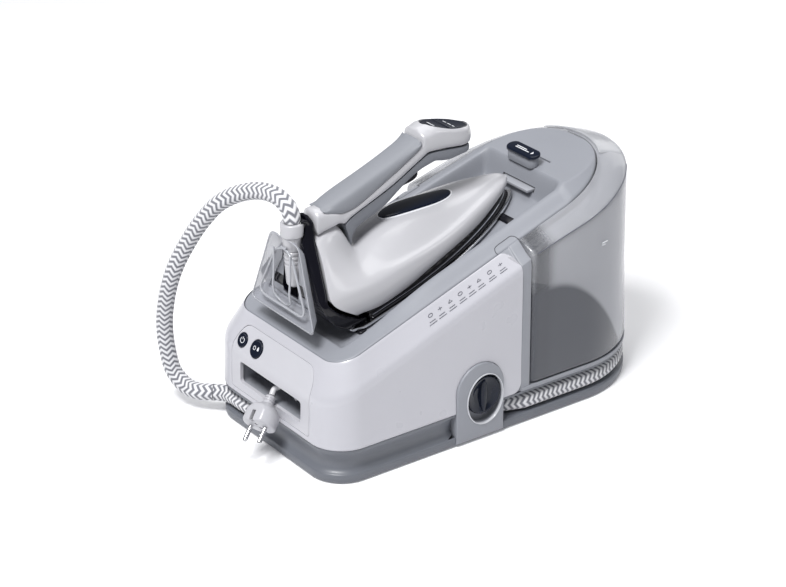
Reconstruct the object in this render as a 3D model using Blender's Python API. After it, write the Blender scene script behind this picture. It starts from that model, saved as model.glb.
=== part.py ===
"""Steam generator iron: a station with a water tank and cord bay, and an iron resting on it.

Station frame: origin at the centre of the underside, +X right, +Y towards the tank, +Z up.
Iron frame: u runs along the soleplate from heel to tip, w is square to the soleplate.
"""
import math

import bmesh
import bpy
from mathutils import Vector

MM = 0.001
GAP = 0.3                     # clearance between neighbouring pieces, mm

# Station, mm
BASE_HALF_W = 112.5
FRONT_Y = -222.5
BASE_CORNER_R = 38.0
BASE_REAR_Y = 109.5           # centre of the rear half circle
BASE_TOP_Z = 37.2
RIM_TOP_Z = 10.5
LIP_Z = 34.0
CHANNEL_DEPTH = 20.0
COVERED_DEPTH = 6.0
CASE_BOTTOM_Z = 37.5
CASE_REAR_Y = 18.0
TANK_FRONT_Y = 31.0
TANK_BOTTOM_Z = 42.0
DECK_FRONT_Y = -201.0
DECK_CORNER_R = 26.0
DECK_REAR_Y = 180.1
WALL = 3.0

# Hose and cord, mm
HOSE_R = 9.0
TUNNEL_R = 10.2
HOSE_Z = 21.0
CORD_R = 3.5

# Iron, mm
SOLE_TILT = math.atan(0.308)
SOLE_ORIGIN = (-136.5, 138.0)  # y, z of u = w = 0
SOLE_TIP_U = 237.6
SOLE_HEEL_U = -18.8
SOLE_HALF_W = 57.5
SOLE_THICK = 3.6

COLOURS = {
    "white": ((0.80, 0.80, 0.82), 0.28, 0.0),
    "deck_grey": ((0.32, 0.34, 0.37), 0.45, 0.0),
    "frame_grey": ((0.45, 0.47, 0.50), 0.45, 0.0),
    "base_grey": ((0.24, 0.26, 0.29), 0.50, 0.0),
    "navy": ((0.012, 0.016, 0.030), 0.25, 0.0),
    "black": ((0.010, 0.010, 0.014), 0.30, 0.0),
    "rubber": ((0.020, 0.020, 0.022), 0.80, 0.0),
    "smoke": ((0.22, 0.23, 0.26), 0.12, 0.0),
    "clear": ((0.62, 0.65, 0.68), 0.10, 0.0),
    "steel": ((0.60, 0.61, 0.63), 0.22, 1.0),
    "brass": ((0.62, 0.45, 0.18), 0.35, 1.0),
    "fabric": ((0.66, 0.66, 0.67), 0.90, 0.0),
    "board": ((0.03, 0.16, 0.07), 0.55, 0.0),
    "silicone": ((0.70, 0.70, 0.68), 0.60, 0.0),
    "soft_grey": ((0.30, 0.32, 0.35), 0.65, 0.0),
}


# ---------------------------------------------------------------- mesh helpers
def clear_scene():
    for obj in list(bpy.data.objects):
        bpy.data.objects.remove(obj, do_unlink=True)


def make_material(name, look):
    colour, roughness, metallic = COLOURS[look]
    mat = bpy.data.materials.new(name)
    mat.use_nodes = True
    shader = mat.node_tree.nodes["Principled BSDF"]
    shader.inputs["Base Color"].default_value = (*colour, 1.0)
    shader.inputs["Roughness"].default_value = roughness
    shader.inputs["Metallic"].default_value = metallic
    return mat


def add_object(name, bm, look, smooth_deg=40.0, origin=(0.0, 0.0, 0.0)):
    """Make a mesh object from bm (in mm, station frame), its origin at the given point."""
    bmesh.ops.recalc_face_normals(bm, faces=bm.faces)
    shift = Vector(origin)
    for vert in bm.verts:
        vert.co = (vert.co - shift) * MM
    mesh = bpy.data.meshes.new(name)
    bm.to_mesh(mesh)
    bm.free()
    mesh.materials.append(make_material(name, look))
    for poly in mesh.polygons:
        poly.use_smooth = True
    mesh.set_sharp_from_angle(angle=math.radians(smooth_deg))
    obj = bpy.data.objects.new(name, mesh)
    obj.location = shift * MM
    bpy.context.scene.collection.objects.link(obj)
    return obj


def make_cutter(name, bm):
    """A hidden solid that another object is cut with."""
    obj = add_object(name, bm, "rubber")
    obj.hide_render = True
    obj.display_type = "WIRE"
    return obj


def cut(obj, cutter, operation="DIFFERENCE"):
    mod = obj.modifiers.new(cutter.name, "BOOLEAN")
    mod.operation = operation
    mod.solver = "EXACT"
    mod.object = cutter


def loft(rings, caps="fan"):
    """Closed solid through rings of equal length; caps are 'fan' or 'ladder' (mirror rings)."""
    bm = bmesh.new()
    rows = [[bm.verts.new(p) for p in ring] for ring in rings]
    count = len(rows[0])
    for low, high in zip(rows, rows[1:]):
        for i in range(count):
            j = (i + 1) % count
            bm.faces.new((low[i], low[j], high[j], high[i]))
    for row in (rows[0], rows[-1]):
        if caps == "ladder":
            ladder_cap(bm, row)
        else:
            bm.faces.new(row)
    return bm


def ladder_cap(bm, row):
    """Cap a ring that starts on the mirror plane, joining each point to its mirror point.

    Points in line with the first or the last one go into the first or the last face.
    """
    half = len(row) // 2
    after_first = 1
    while after_first < half and abs(row[after_first].co.y - row[0].co.y) < 1e-6:
        after_first += 1
    last = half
    while last > 0 and abs(row[last - 1].co.y - row[half].co.y) < 1e-6:
        last -= 1
    stops = [0] + list(range(after_first, last)) + [half]
    for start, end in zip(stops, stops[1:]):
        right = [row[i] for i in range(start, end + 1)]
        left = [row[-i] for i in range(end, start - 1, -1)]
        corners = []
        for vert in right + left:
            if vert not in corners:
                corners.append(vert)
        bm.faces.new(corners)


def box(x0, x1, y0, y1, z0, z1):
    low = [(x0, y0, z0), (x1, y0, z0), (x1, y1, z0), (x0, y1, z0)]
    high = [(x, y, z1) for x, y, _ in low]
    return loft([low, high])


def circle(centre, normal, radius, sides, stretch=1.0):
    """Ring of points round a centre, square to normal; stretch scales the second axis."""
    axis = Vector(normal).normalized()
    ref = Vector((1, 0, 0)) if abs(axis.x) < 0.9 else Vector((0, 0, 1))
    first = axis.cross(ref).normalized()
    second = axis.cross(first)
    mid = Vector(centre)
    ring = []
    for i in range(sides):
        t = 2.0 * math.pi * i / sides
        ring.append(mid + radius * (math.cos(t) * first + stretch * math.sin(t) * second))
    return ring


def turned(start, normal, profile, sides=24):
    """Solid of revolution: profile is a list of (distance along normal, radius)."""
    axis = Vector(normal).normalized()
    rings = [circle(Vector(start) + axis * d, axis, r, sides) for d, r in profile]
    return loft(rings)


def smooth_path(points, steps):
    """Catmull-Rom curve through the points."""
    pts = [Vector(p) for p in points]
    pts = [2 * pts[0] - pts[1]] + pts + [2 * pts[-1] - pts[-2]]
    path = []
    for k in range(1, len(pts) - 2):
        a, b, c, d = pts[k - 1:k + 3]
        for i in range(steps):
            t = i / steps
            path.append(0.5 * (2 * b + (c - a) * t + (2 * a - 5 * b + 4 * c - d) * t ** 2
                               + (3 * b - a - 3 * c + d) * t ** 3))
    path.append(pts[-2])
    return path


def tube(path, radius, sides):
    """Round tube along a path, its rings carried along without twist."""
    rings = []
    tangent = (path[1] - path[0]).normalized()
    side = tangent.cross(Vector((0.12, 0.05, 1.0))).normalized()
    for i, point in enumerate(path):
        ahead = path[min(i + 1, len(path) - 1)]
        behind = path[max(i - 1, 0)]
        tangent = (ahead - behind).normalized()
        side = (side - tangent * side.dot(tangent)).normalized()
        up = tangent.cross(side)
        ring = []
        for k in range(sides):
            t = 2.0 * math.pi * k / sides
            ring.append(point + radius * (math.cos(t) * side + math.sin(t) * up))
        rings.append(ring)
    return loft(rings)


def interp(table, x):
    """Straight-line reading of a table of (x, value) pairs."""
    if x <= table[0][0]:
        return table[0][1]
    for (x0, v0), (x1, v1) in zip(table, table[1:]):
        if x <= x1:
            return v0 + (v1 - v0) * (x - x0) / (x1 - x0)
    return table[-1][1]


def smoothstep(a, b, x):
    t = min(1.0, max(0.0, (x - a) / (b - a)))
    return t * t * (3.0 - 2.0 * t)


# ---------------------------------------------------------------- station shape
def half_outline(half_w, front_y, corner_r, rear_half_w, rear_y, rear_b, power):
    """Right half of a station outline in plan, front centre to rear centre."""
    pts = [(0.0, front_y), (0.5 * (half_w - corner_r), front_y)]
    for i in range(7):
        t = math.radians(-90.0 + 15.0 * i)
        pts.append((half_w - corner_r + corner_r * math.cos(t),
                    front_y + corner_r + corner_r * math.sin(t)))
    start_y = front_y + corner_r
    for i in range(1, 8):
        s = i / 8.0
        pts.append((half_w + (rear_half_w - half_w) * s, start_y + (rear_y - start_y) * s))
    for i in range(0, 13):
        t = 0.5 * math.pi * i / 12.0
        x = rear_half_w * math.cos(t) ** (2.0 / power) if i < 12 else 0.0
        pts.append((x, rear_y + rear_b * math.sin(t) ** (2.0 / power)))
    return pts


def mirrored(half):
    """Full ring from a right half that starts and ends on x = 0."""
    return half + [(-x, y) for x, y in reversed(half[1:-1])]


def base_outline(inset):
    return mirrored(half_outline(BASE_HALF_W - inset, FRONT_Y + inset,
                                 max(BASE_CORNER_R - inset, 8.0), BASE_HALF_W - inset,
                                 BASE_REAR_Y, BASE_HALF_W - inset, 2.0))


def deck_edge_half(grow=0.0):
    return half_outline(94.0 + grow, DECK_FRONT_Y - grow, DECK_CORNER_R, 85.7 + grow,
                        86.0, 94.1 + grow, 2.14)


def deck_edge_x(y):
    """Half width of the deck at y."""
    if y >= 86.0:
        s = min(1.0, (y - 86.0) / 94.1)
        return 85.7 * (1.0 - s ** 2.14) ** (1.0 / 2.14)
    side = 94.0 - 8.3 * (y + 175.0) / 261.0
    if y > DECK_FRONT_Y + DECK_CORNER_R:
        return side
    drop = DECK_FRONT_Y + DECK_CORNER_R - y
    return side - DECK_CORNER_R + math.sqrt(max(0.0, DECK_CORNER_R ** 2 - drop ** 2))


def seam_z(y):
    """Height of the line between casing and deck."""
    return 223.0 + 0.326 * (y - 100.0) + 0.0004 * max(0.0, y - 100.0) ** 2


def crease_z(y):
    """Height of the crease between the upright wall and the bevel."""
    return 88.5 + 0.38 * (y - FRONT_Y)


def shoulder_z(y):
    """Height of the crease round the top of the tank."""
    return 209.5 + 0.2692 * (y - 100.0) - 0.0002 * (y - 100.0) ** 2


def cradle_z(y):
    """Floor of the recess the iron rests in."""
    floor = SOLE_ORIGIN[1] + 0.308 * (y - SOLE_ORIGIN[0]) - 2.6
    front = seam_z(y) + 1.0
    blend = smoothstep(-166.0, -190.0, y)
    return floor + (front - floor) * blend


def plateau_z(y):
    """Raised rear part of the deck, which carries the lock."""
    return 236.0 + 0.2 * (y - 104.0)


def deck_z(x, y):
    """Top surface of the deck."""
    edge = max(0.0, deck_edge_x(y) - abs(x))
    edge = min(edge, (y - DECK_FRONT_Y) * 1.2, (DECK_REAR_Y - y) * 1.6)
    rise = 8.0 * smoothstep(-170.0, -60.0, y) * smoothstep(0.0, 20.0, edge)
    ridge = seam_z(y) + rise
    floor = cradle_z(y)
    open_z = ridge + (floor - ridge) * smoothstep(22.0, 32.0, edge)
    rear = min(seam_z(y) + 0.62 * edge, plateau_z(y))
    return open_z + (rear - open_z) * smoothstep(96.0, 99.0, y)


def ring_at(outline, height):
    return [(x, y, height(y) if callable(height) else height) for x, y in outline]


# ---------------------------------------------------------------- station pieces
def channel_inset(x, y):
    """Depth of the hose channel: shallow round the front right corner, where it is covered."""
    if x > 0.0 and y < -60.0:
        return COVERED_DEPTH
    if y < -200.0 and x > -20.0:
        return COVERED_DEPTH
    return CHANNEL_DEPTH


def build_base_plate():
    outer = base_outline(0.0)
    shallow = base_outline(COVERED_DEPTH)
    deep = base_outline(CHANNEL_DEPTH)
    wall = []
    for i, (x, y) in enumerate(outer):
        wall.append(shallow[i] if channel_inset(x, y) == COVERED_DEPTH else deep[i])
    rings = [
        ring_at(base_outline(2.5), 0.0),
        ring_at(outer, 2.5),
        ring_at(outer, 9.0),
        ring_at(base_outline(1.5), RIM_TOP_Z),
        ring_at(wall, RIM_TOP_Z),
        ring_at(wall, LIP_Z),
        ring_at(base_outline(1.2), LIP_Z),
        ring_at(base_outline(0.8), BASE_TOP_Z),
    ]
    obj = add_object("base_plate", loft(rings, "ladder"), "base_grey")
    cut(obj, make_cutter("cut_hose_tunnel", tube(smooth_path(COVERED_PATH, 2), TUNNEL_R, 10)))
    cut(obj, make_cutter("cut_hose_root", tube(smooth_path(ROOT_BORE, 2), TUNNEL_R, 10)))
    cut(obj, make_cutter("cut_base_underside", underside_pockets()))
    return obj


COVERED_PATH = [(102.5, 28.0, HOSE_Z), (97.0, 11.0, HOSE_Z), (89.0, -8.0, HOSE_Z),
                (83.0, -36.0, HOSE_Z), (79.0, -80.0, HOSE_Z), (76.0, -130.0, HOSE_Z),
                (65.0, -163.0, HOSE_Z), (40.0, -184.0, HOSE_Z), (8.0, -192.0, HOSE_Z),
                (-20.0, -199.0, HOSE_Z), (-44.0, -209.0, HOSE_Z), (-64.0, -212.4, HOSE_Z)]
ROOT_PATH = [(-102.5, -70.0, HOSE_Z), (-99.0, -92.0, HOSE_Z), (-88.0, -112.0, HOSE_Z),
             (-70.0, -126.0, HOSE_Z)]
ROOT_BORE = ROOT_PATH[:-1] + [(-66.4, -128.0, HOSE_Z)]
EXIT_PATH = [(-80.0, -212.4, HOSE_Z), (-94.0, -216.0, HOSE_Z), (-101.4, -222.8, HOSE_Z),
             (-103.5, -225.0, HOSE_Z)]
LOOP_PATH = [(-103.9, -225.4, HOSE_Z), (-106.0, -227.6, HOSE_Z), (-113.0, -234.0, 20.4), (-130.0, -242.0, 22.0),
             (-144.0, -248.0, 34.0), (-151.0, -252.0, 62.0), (-151.0, -254.0, 92.0),
             (-145.0, -254.0, 122.0), (-134.0, -250.0, 159.0), (-120.0, -240.0, 194.0),
             (-104.0, -230.0, 223.0), (-87.0, -220.0, 245.0), (-62.0, -205.0, 261.5),
             (-38.0, -196.5, 268.0), (-15.0, -192.5, 266.5), (-2.0, -191.0, 257.5),
             (0.0, -190.9, 251.0), (0.0, -190.9, 247.8)]
FOOT_SPOTS = [(-78.0, -178.0), (78.0, -178.0), (-72.0, 150.0), (72.0, 150.0)]
SCREW_SPOTS = [(-60.0, -120.0), (60.0, -120.0), (-60.0, 90.0), (60.0, 90.0)]


def underside_pockets():
    """Pockets for the four feet and the four screws, as one set of separate solids."""
    bm = bmesh.new()
    for spots, radius, depth in ((FOOT_SPOTS, 11.0 + GAP, 3.0 + GAP), (SCREW_SPOTS, 5.0, 6.0)):
        for x, y in spots:
            low = [bm.verts.new(p) for p in circle((x, y, -4.0), (0, 0, 1), radius, 16)]
            high = [bm.verts.new(p) for p in circle((x, y, depth), (0, 0, 1), radius, 16)]
            bm.faces.new(low)
            bm.faces.new(high)
            for i in range(16):
                j = (i + 1) % 16
                bm.faces.new((low[i], low[j], high[j], high[i]))
    return bm


def build_feet_and_screws():
    for i, (x, y) in enumerate(FOOT_SPOTS):
        profile = [(0.0, 10.2), (0.8, 11.0), (3.0, 11.0)]
        add_object(f"foot_{i + 1}", turned((x, y, 0.0), (0, 0, 1), profile, 16), "rubber")
    for i, (x, y) in enumerate(SCREW_SPOTS):
        profile = [(0.0, 3.4), (0.6, 4.2), (3.0, 4.2)]
        add_object(f"base_screw_{i + 1}", turned((x, y, 2.7), (0, 0, 1), profile, 10), "steel")


def casing_path(half_w, front_y, corner_r, end_y, end_half_w):
    """Plan path round the front of the casing, left rear to right rear."""
    pts = [(0.0, front_y), (0.5 * (half_w - corner_r), front_y)]
    for i in range(7):
        t = math.radians(-90.0 + 15.0 * i)
        pts.append((half_w - corner_r + corner_r * math.cos(t),
                    front_y + corner_r + corner_r * math.sin(t)))
    start_y = front_y + corner_r
    for i in range(1, 8):
        s = i / 7.0
        pts.append((half_w + (end_half_w - half_w) * s, start_y + (end_y - start_y) * s))
    return [(-x, y) for x, y in reversed(pts[1:])] + pts


def build_side_casing():
    """White U-shaped wall with its bevel; the rear ends are rounded at top and bottom."""
    end = CASE_REAR_Y
    seam_end = deck_edge_x(end - 18.0)
    levels = [
        (casing_path(112.5, -222.5, 38.0, end - 9.0, 112.5), lambda y: CASE_BOTTOM_Z),
        (casing_path(112.3, -222.4, 38.0, end, 112.3), lambda y: CASE_BOTTOM_Z + 9.0),
        (casing_path(110.8, -221.5, 37.0, end, 110.8), lambda y: crease_z(y) - 8.0),
        (casing_path(110.3, -221.1, 37.0, end - 0.5, 110.2), crease_z),
        (casing_path(102.5, -211.5, 31.5, end - 5.0, 99.3),
         lambda y: 0.5 * (crease_z(y) + seam_z(y))),
        (casing_path(94.7, -201.7, 26.7, end - 18.0, seam_end + 0.6), seam_z),
        (casing_path(94.7, -201.7, 26.7, end - 18.0, seam_end + 0.6), lambda y: seam_z(y) - 3.2),
        (casing_path(107.2, -218.0, 34.0, end - 2.0, 107.0), lambda y: crease_z(y) - 2.0),
        (casing_path(109.5, -219.5, 35.0, end - 9.0, 109.5), lambda y: CASE_BOTTOM_Z),
    ]
    count = len(levels[0][0])
    rings = []
    for i in range(count):
        rings.append([(path[i][0], path[i][1], height(path[i][1])) for path, height in levels])
    obj = add_object("side_casing", loft(rings), "white", 25.0)
    cut(obj, make_cutter("cut_panel_hole", panel_prism(GAP)))
    cut(obj, make_cutter("cut_casing_drain", drain_prism(GAP)))
    return obj


PANEL_FRONT = [(-222.4, 44.0), (-221.5, 88.9), (-206.8, 114.7)]


def panel_prism(grow):
    """Prism along y with the panel's rounded outline."""
    corners = [(0.0, 44.0), (66.0, 44.0), (70.5, 48.5), (70.5, 89.0), (67.5, 101.0),
               (62.0, 110.5), (53.0, 114.5), (0.0, 114.5)]
    outline = []
    for x, z in corners:
        outline.append((x + (grow if x > 0.0 else 0.0), z + (grow if z > 79.0 else -grow)))
    full = outline + [(-x, z) for x, z in reversed(outline[1:-1])]
    return loft([[(x, -240.0, z) for x, z in full], [(x, -190.0, z) for x, z in full]])


def slab_profile():
    """Section of the front wall, which the panel repeats."""
    return [(-222.35, 40.0), (-221.4, 82.0), (-221.0, 88.4), (-200.0, 127.0),
            (-201.5, 123.0), (-217.8, 88.0), (-219.4, 40.0)]


def build_front_panel():
    profile = slab_profile()
    bm = loft([[(x, y, z) for y, z in profile] for x in (-80.0, 80.0)])
    obj = add_object("front_panel", bm, "white", 25.0)
    cut(obj, make_cutter("keep_panel", panel_prism(0.0)), "INTERSECT")
    cut(obj, make_cutter("cut_bay_opening", rounded_prism_y(-55.0, 56.0, 53.6, 77.4, -240, -190)))
    for name, centre, radius in BUTTONS:
        profile = [(-12.0, radius + GAP), (12.0, radius + GAP)]
        cut(obj, make_cutter("cut_" + name, turned(centre, BEVEL_NORMAL, profile, 24)))
    return obj


def rounded_prism_y(x0, x1, z0, z1, y0, y1, r=6.0):
    ring = []
    for cx, cz, start in ((x1 - r, z0 + r, -90), (x1 - r, z1 - r, 0),
                          (x0 + r, z1 - r, 90), (x0 + r, z0 + r, 180)):
        for i in range(4):
            t = math.radians(start + 30.0 * i)
            ring.append((cx + r * math.cos(t), cz + r * math.sin(t)))
    return loft([[(x, y0, z) for x, z in ring], [(x, y1, z) for x, z in ring]])


BEVEL_NORMAL = Vector((0.0, -0.8784, 0.4779))
BUTTONS = [("power_button", (-58.0, -215.4, 98.7), 8.0),
           ("mode_button", (-32.0, -215.4, 98.7), 10.0)]


def build_panel_buttons():
    for name, centre, radius in BUTTONS:
        profile = [(-6.0, radius), (0.7, radius), (1.3, radius - 0.6)]
        bm = turned(centre, BEVEL_NORMAL, profile, 24)
        add_object(name, bm, "navy", origin=centre)


def build_cord_bay():
    obj = add_object("cord_bay", box(-60.0, 60.0, -217.4, -158.0, 48.0, 81.5), "frame_grey")
    inner = rounded_prism_y(-57.5, 57.5, 50.5, 79.0, -240.0, -160.5)
    cut(obj, make_cutter("cut_bay_inside", inner))


def build_rear_frame():
    """Grey frame behind the casing: cross wall, side pillars and the ledge the tank stands on."""
    front, back = CASE_REAR_Y + 1.0, TANK_FRONT_Y - 1.0
    rings = []
    for y in (front, back):
        edge = deck_edge_x(y) + GAP
        half = [(111.6, CASE_BOTTOM_Z + 1.0), (110.3, crease_z(y)), (edge, seam_z(y)),
                (edge, seam_z(y) - 3.6), (70.0, seam_z(y) - 3.6), (62.0, cradle_z(y) - 4.0)]
        full = half + [(-x, z) for x, z in reversed(half)]
        rings.append([(x, y, z) for x, z in full])
    obj = add_object("rear_frame", loft(rings), "frame_grey", 25.0)
    rear = half_outline(BASE_HALF_W, FRONT_Y, BASE_CORNER_R, BASE_HALF_W, BASE_REAR_Y,
                        BASE_HALF_W, 2.0)
    ledge = [(0.0, front), (BASE_HALF_W - 0.2, front)] + [p for p in rear if p[1] > TANK_FRONT_Y]
    floor = loft([ring_at(mirrored(ledge), CASE_BOTTOM_Z),
                  ring_at(mirrored(ledge), TANK_BOTTOM_Z - 0.5)], "ladder")
    cut(obj, make_cutter("join_frame_ledge", floor), "UNION")
    socket = turned((0.0, 10.0, 62.0), (0, 1, 0), [(0.0, 9.0), (30.0, 9.0)], 20)
    cut(obj, make_cutter("cut_valve_socket", socket))


def deck_rows():
    ys = [-201.0, -200.0, -196.0, -189.0, -182.0, -175.0, -160.0, -120.0, -60.0, 0.0, 50.0,
          86.0, 94.0, 96.0, 97.5, 99.0, 104.0, 116.0, 130.0, 144.0, 156.0, 166.0, 173.0,
          177.5, 179.6]
    return ys


def deck_columns(half_w):
    """Column positions across the deck for one row."""
    insets = [0.0, 7.0, 14.0, 20.0, 23.0, 27.0, 32.0]
    usable = half_w * 0.92
    scale = min(1.0, usable / insets[-1])
    right = [half_w - d * scale for d in insets]
    inner = right[-1]
    return right + [inner * 0.5, 0.0]


def grid_solid(rows):
    """Closed solid from a grid of (top point, bottom point) pairs."""
    bm = bmesh.new()
    top = [[bm.verts.new(t) for t, _ in row] for row in rows]
    low = [[bm.verts.new(b) for _, b in row] for row in rows]
    n_rows, n_cols = len(rows), len(rows[0])
    for r in range(n_rows - 1):
        for c in range(n_cols - 1):
            bm.faces.new((top[r][c], top[r][c + 1], top[r + 1][c + 1], top[r + 1][c]))
            bm.faces.new((low[r][c], low[r + 1][c], low[r + 1][c + 1], low[r][c + 1]))
    for r in range(n_rows - 1):
        for c in (0, n_cols - 1):
            bm.faces.new((top[r][c], top[r + 1][c], low[r + 1][c], low[r][c]))
    for c in range(n_cols - 1):
        for r in (0, n_rows - 1):
            bm.faces.new((top[r][c], top[r][c + 1], low[r][c + 1], low[r][c]))
    return bm


def build_top_deck():
    rows = []
    for y in deck_rows():
        half = deck_columns(max(deck_edge_x(y) - GAP, 4.0))
        xs = half + [-x for x in reversed(half[:-1])]
        rows.append([((x, y, deck_z(x, y)), (x, y, deck_z(x, y) - WALL)) for x in xs])
    obj = add_object("top_deck", grid_solid(rows), "deck_grey", 30.0)
    cut(obj, make_cutter("cut_tongue_slot", box(-27.0, 27.0, 95.5, 103.0, 213.2, 219.2)))
    return obj


def under_deck(y):
    """Top of the tank where it runs under the deck."""
    return cradle_z(y) - 5.5


def tank_ring(shape, front, height, dip=None):
    """Plan ring of the tank at one height; dip lowers its front middle under the deck."""
    half_w, b, power, back, widen, r = shape
    wide = half_w + widen
    mid = min(84.0, wide - 3.5)
    pts = [(0.0, front), (mid, front), (wide - r, front), (wide - 0.3 * r, front + 0.3 * r),
           (wide, front + r), (0.5 * (half_w + wide), 0.5 * (front + back)), (half_w, back)]
    for i in range(1, 13):
        t = 0.5 * math.pi * i / 12.0
        x = half_w * math.cos(t) ** (2.0 / power) if i < 12 else 0.0
        pts.append((x, back + b * math.sin(t) ** (2.0 / power)))
    ring = []
    for x, y in mirrored(pts):
        dipped = dip is not None and abs(x) < mid + 0.1 and y < front + 0.1
        ring.append((x, y, under_deck(y) - dip if dipped else height(y)))
    return ring


def build_water_tank():
    """Hollow tank under and behind the deck, open at the filling mouth."""
    front = TANK_FRONT_Y
    rings = [
        tank_ring((109.5, 110.0, 2.0, 109.5, 0.0, 7.0), front, lambda y: TANK_BOTTOM_Z),
        tank_ring((112.0, 112.5, 2.0, 109.5, 0.0, 7.0), front, lambda y: TANK_BOTTOM_Z + 5.0),
        tank_ring((111.2, 119.0, 1.92, 103.0, 0.0, 7.0), front, lambda y: 130.0),
        tank_ring((110.5, 124.5, 1.85, 98.0, 0.0, 7.0), front, shoulder_z, 2.0),
        tank_ring((86.5, 95.0, 2.14, 86.0, 1.8, 0.6), front, lambda y: seam_z(y) - 0.3, 1.0),
        tank_ring((86.5, 95.0, 2.14, 86.0, 1.8, 0.6), front + 2.0, lambda y: seam_z(y) - 3.5, 0.5),
        tank_ring((84.0, 92.5, 2.14, 86.0, 1.0, 0.6), front + 4.0, under_deck, 0.0),
    ]
    obj = add_object("water_tank", loft(rings, "ladder"), "smoke", 30.0)
    front += 3.0
    inside = [
        tank_ring((106.5, 107.0, 2.0, 109.5, 0.0, 6.0), front, lambda y: TANK_BOTTOM_Z + 3.0),
        tank_ring((109.0, 109.5, 2.0, 109.5, 0.0, 6.0), front, lambda y: TANK_BOTTOM_Z + 7.0),
        tank_ring((108.2, 116.0, 1.92, 103.0, 0.0, 6.0), front, lambda y: 130.0),
        tank_ring((107.0, 121.0, 1.85, 98.0, 0.0, 6.0), front, lambda y: shoulder_z(y) - 4.0, 6.0),
        tank_ring((90.5, 99.0, 2.14, 86.0, 1.8, 1.0), front, lambda y: seam_z(y) - 6.0, 5.0),
        tank_ring((89.5, 98.0, 2.14, 86.0, 1.8, 1.0), front + 2.0, lambda y: under_deck(y) - 1.0, 4.2),
        tank_ring((80.0, 88.5, 2.14, 86.0, 1.0, 1.0), front + 4.0, lambda y: under_deck(y) - 3.0, 3.0),
    ]
    cut(obj, make_cutter("cut_tank_inside", loft(inside, "ladder")))
    cut(obj, make_cutter("cut_tank_mouth", tank_mouth()))
    nozzle = turned((0.0, 25.0, 62.0), (0, 1, 0), [(0.0, 7.0), (5.7, 7.0)], 20)
    add_object("tank_valve", nozzle, "silicone")


def tank_mouth():
    """Filling mouth through the rear shoulder."""
    return box(-30.0, 30.0, 192.0, 206.0, 222.0, 270.0)


def lid_point(x, s, lift):
    """Point on the rear shoulder: s = 0 at the deck side, 1 near the outer crease."""
    inner_y = 86.0 + 95.5 * (1.0 - (abs(x) / 87.0) ** 2.14) ** (1.0 / 2.14)
    outer_y = 98.0 + 122.5 * (1.0 - (abs(x) / 110.5) ** 1.85) ** (1.0 / 1.85)
    inner_z = seam_z(inner_y)
    outer_z = shoulder_z(outer_y)
    return (x, inner_y + (outer_y - inner_y) * s, inner_z + (outer_z - inner_z) * s + lift)


def build_tank_lid():
    rows = []
    for x in (-46.0, -34.0, -22.0, -11.0, 0.0, 11.0, 22.0, 34.0, 46.0):
        row = []
        for s in (0.06, 0.4, 0.7, 0.94):
            row.append((lid_point(x, s, 3.4), lid_point(x, s, 1.0)))
        rows.append(row)
    obj = add_object("tank_lid", grid_solid(rows), "clear", origin=(0.0, 171.4, 249.0))
    for side in (-1.0, 1.0):
        barrel = turned((side * 44.6, 171.4, 249.0), (side, 0, 0), [(0.0, 1.5), (4.6, 1.5)], 24)
        cut(obj, make_cutter(f"join_lid_barrel_{'left' if side < 0 else 'right'}", barrel), "UNION")


def drain_prism(grow):
    """Tombstone-shaped prism along x for the drain surround."""
    half, top_z, low_z, mid_y = 30.6 + grow, 57.6, 2.6 - grow, -36.6
    ring = [(mid_y - half, low_z), (mid_y + half, low_z)]
    for i in range(13):
        t = math.pi * i / 12.0
        ring.append((mid_y + half * math.cos(t), top_z + half * math.sin(t)))
    back = 101.5 - grow
    return loft([[(back, y, z) for y, z in ring], [(130.0, y, z) for y, z in ring]])


def build_drain():
    bm = drain_prism(0.0)
    for vert in bm.verts:
        if vert.co.x > 120.0:
            vert.co.x = 114.4
    obj = add_object("drain_surround", bm, "frame_grey")
    bowl = [circle((x, -31.0, 46.0), (1, 0, 0), r, 28, 28.0 / 22.8)
            for x, r in ((103.8, 22.4), (106.0, 22.6), (130.0, 22.8))]
    cut(obj, make_cutter("cut_drain_bowl", loft(bowl)))
    centre = (104.2, -31.0, 49.3)
    knob = turned(centre, (1, 0, 0), [(0.0, 20.5), (1.0, 21.3), (4.6, 21.3), (6.4, 19.0)], 28)
    knob_obj = add_object("drain_knob", knob, "navy", origin=centre)
    bar = box(106.0, 113.6, -35.0, -27.0, 31.3, 67.3)
    cut(knob_obj, make_cutter("join_knob_bar", bar), "UNION")


def build_lock():
    """Sliding lock button on its pedestal, and the tongue that reaches over the soleplate tip."""
    def slab(x0, x1, y0, y1, low, high):
        lows = [(x, y, plateau_z(y) + low) for x, y in ((x0, y0), (x1, y0), (x1, y1), (x0, y1))]
        highs = [(x, y, z - low + high) for x, y, z in lows]
        return loft([lows, highs])

    def pill(half_len, half_w, low, high, mid_y=109.0):
        ring = []
        for side in (1, -1):
            for i in range(7):
                t = math.radians(-90.0 + 30.0 * i)
                ring.append((side * (half_len - half_w + half_w * math.cos(t)) - 4.0,
                             mid_y + side * half_w * math.sin(t)))
        rings = [[(x, y, plateau_z(y) + h) for x, y in ring] for h in (low, high)]
        return loft(rings)

    add_object("lock_button", pill(22.0, 6.5, GAP, 10.5), "frame_grey")
    add_object("lock_cap", pill(24.0, 8.0, 10.8, 14.2), "navy")
    add_object("lock_tongue", box(-25.0, 25.0, 91.6, 112.0, 214.5, 217.5), "deck_grey")


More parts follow.
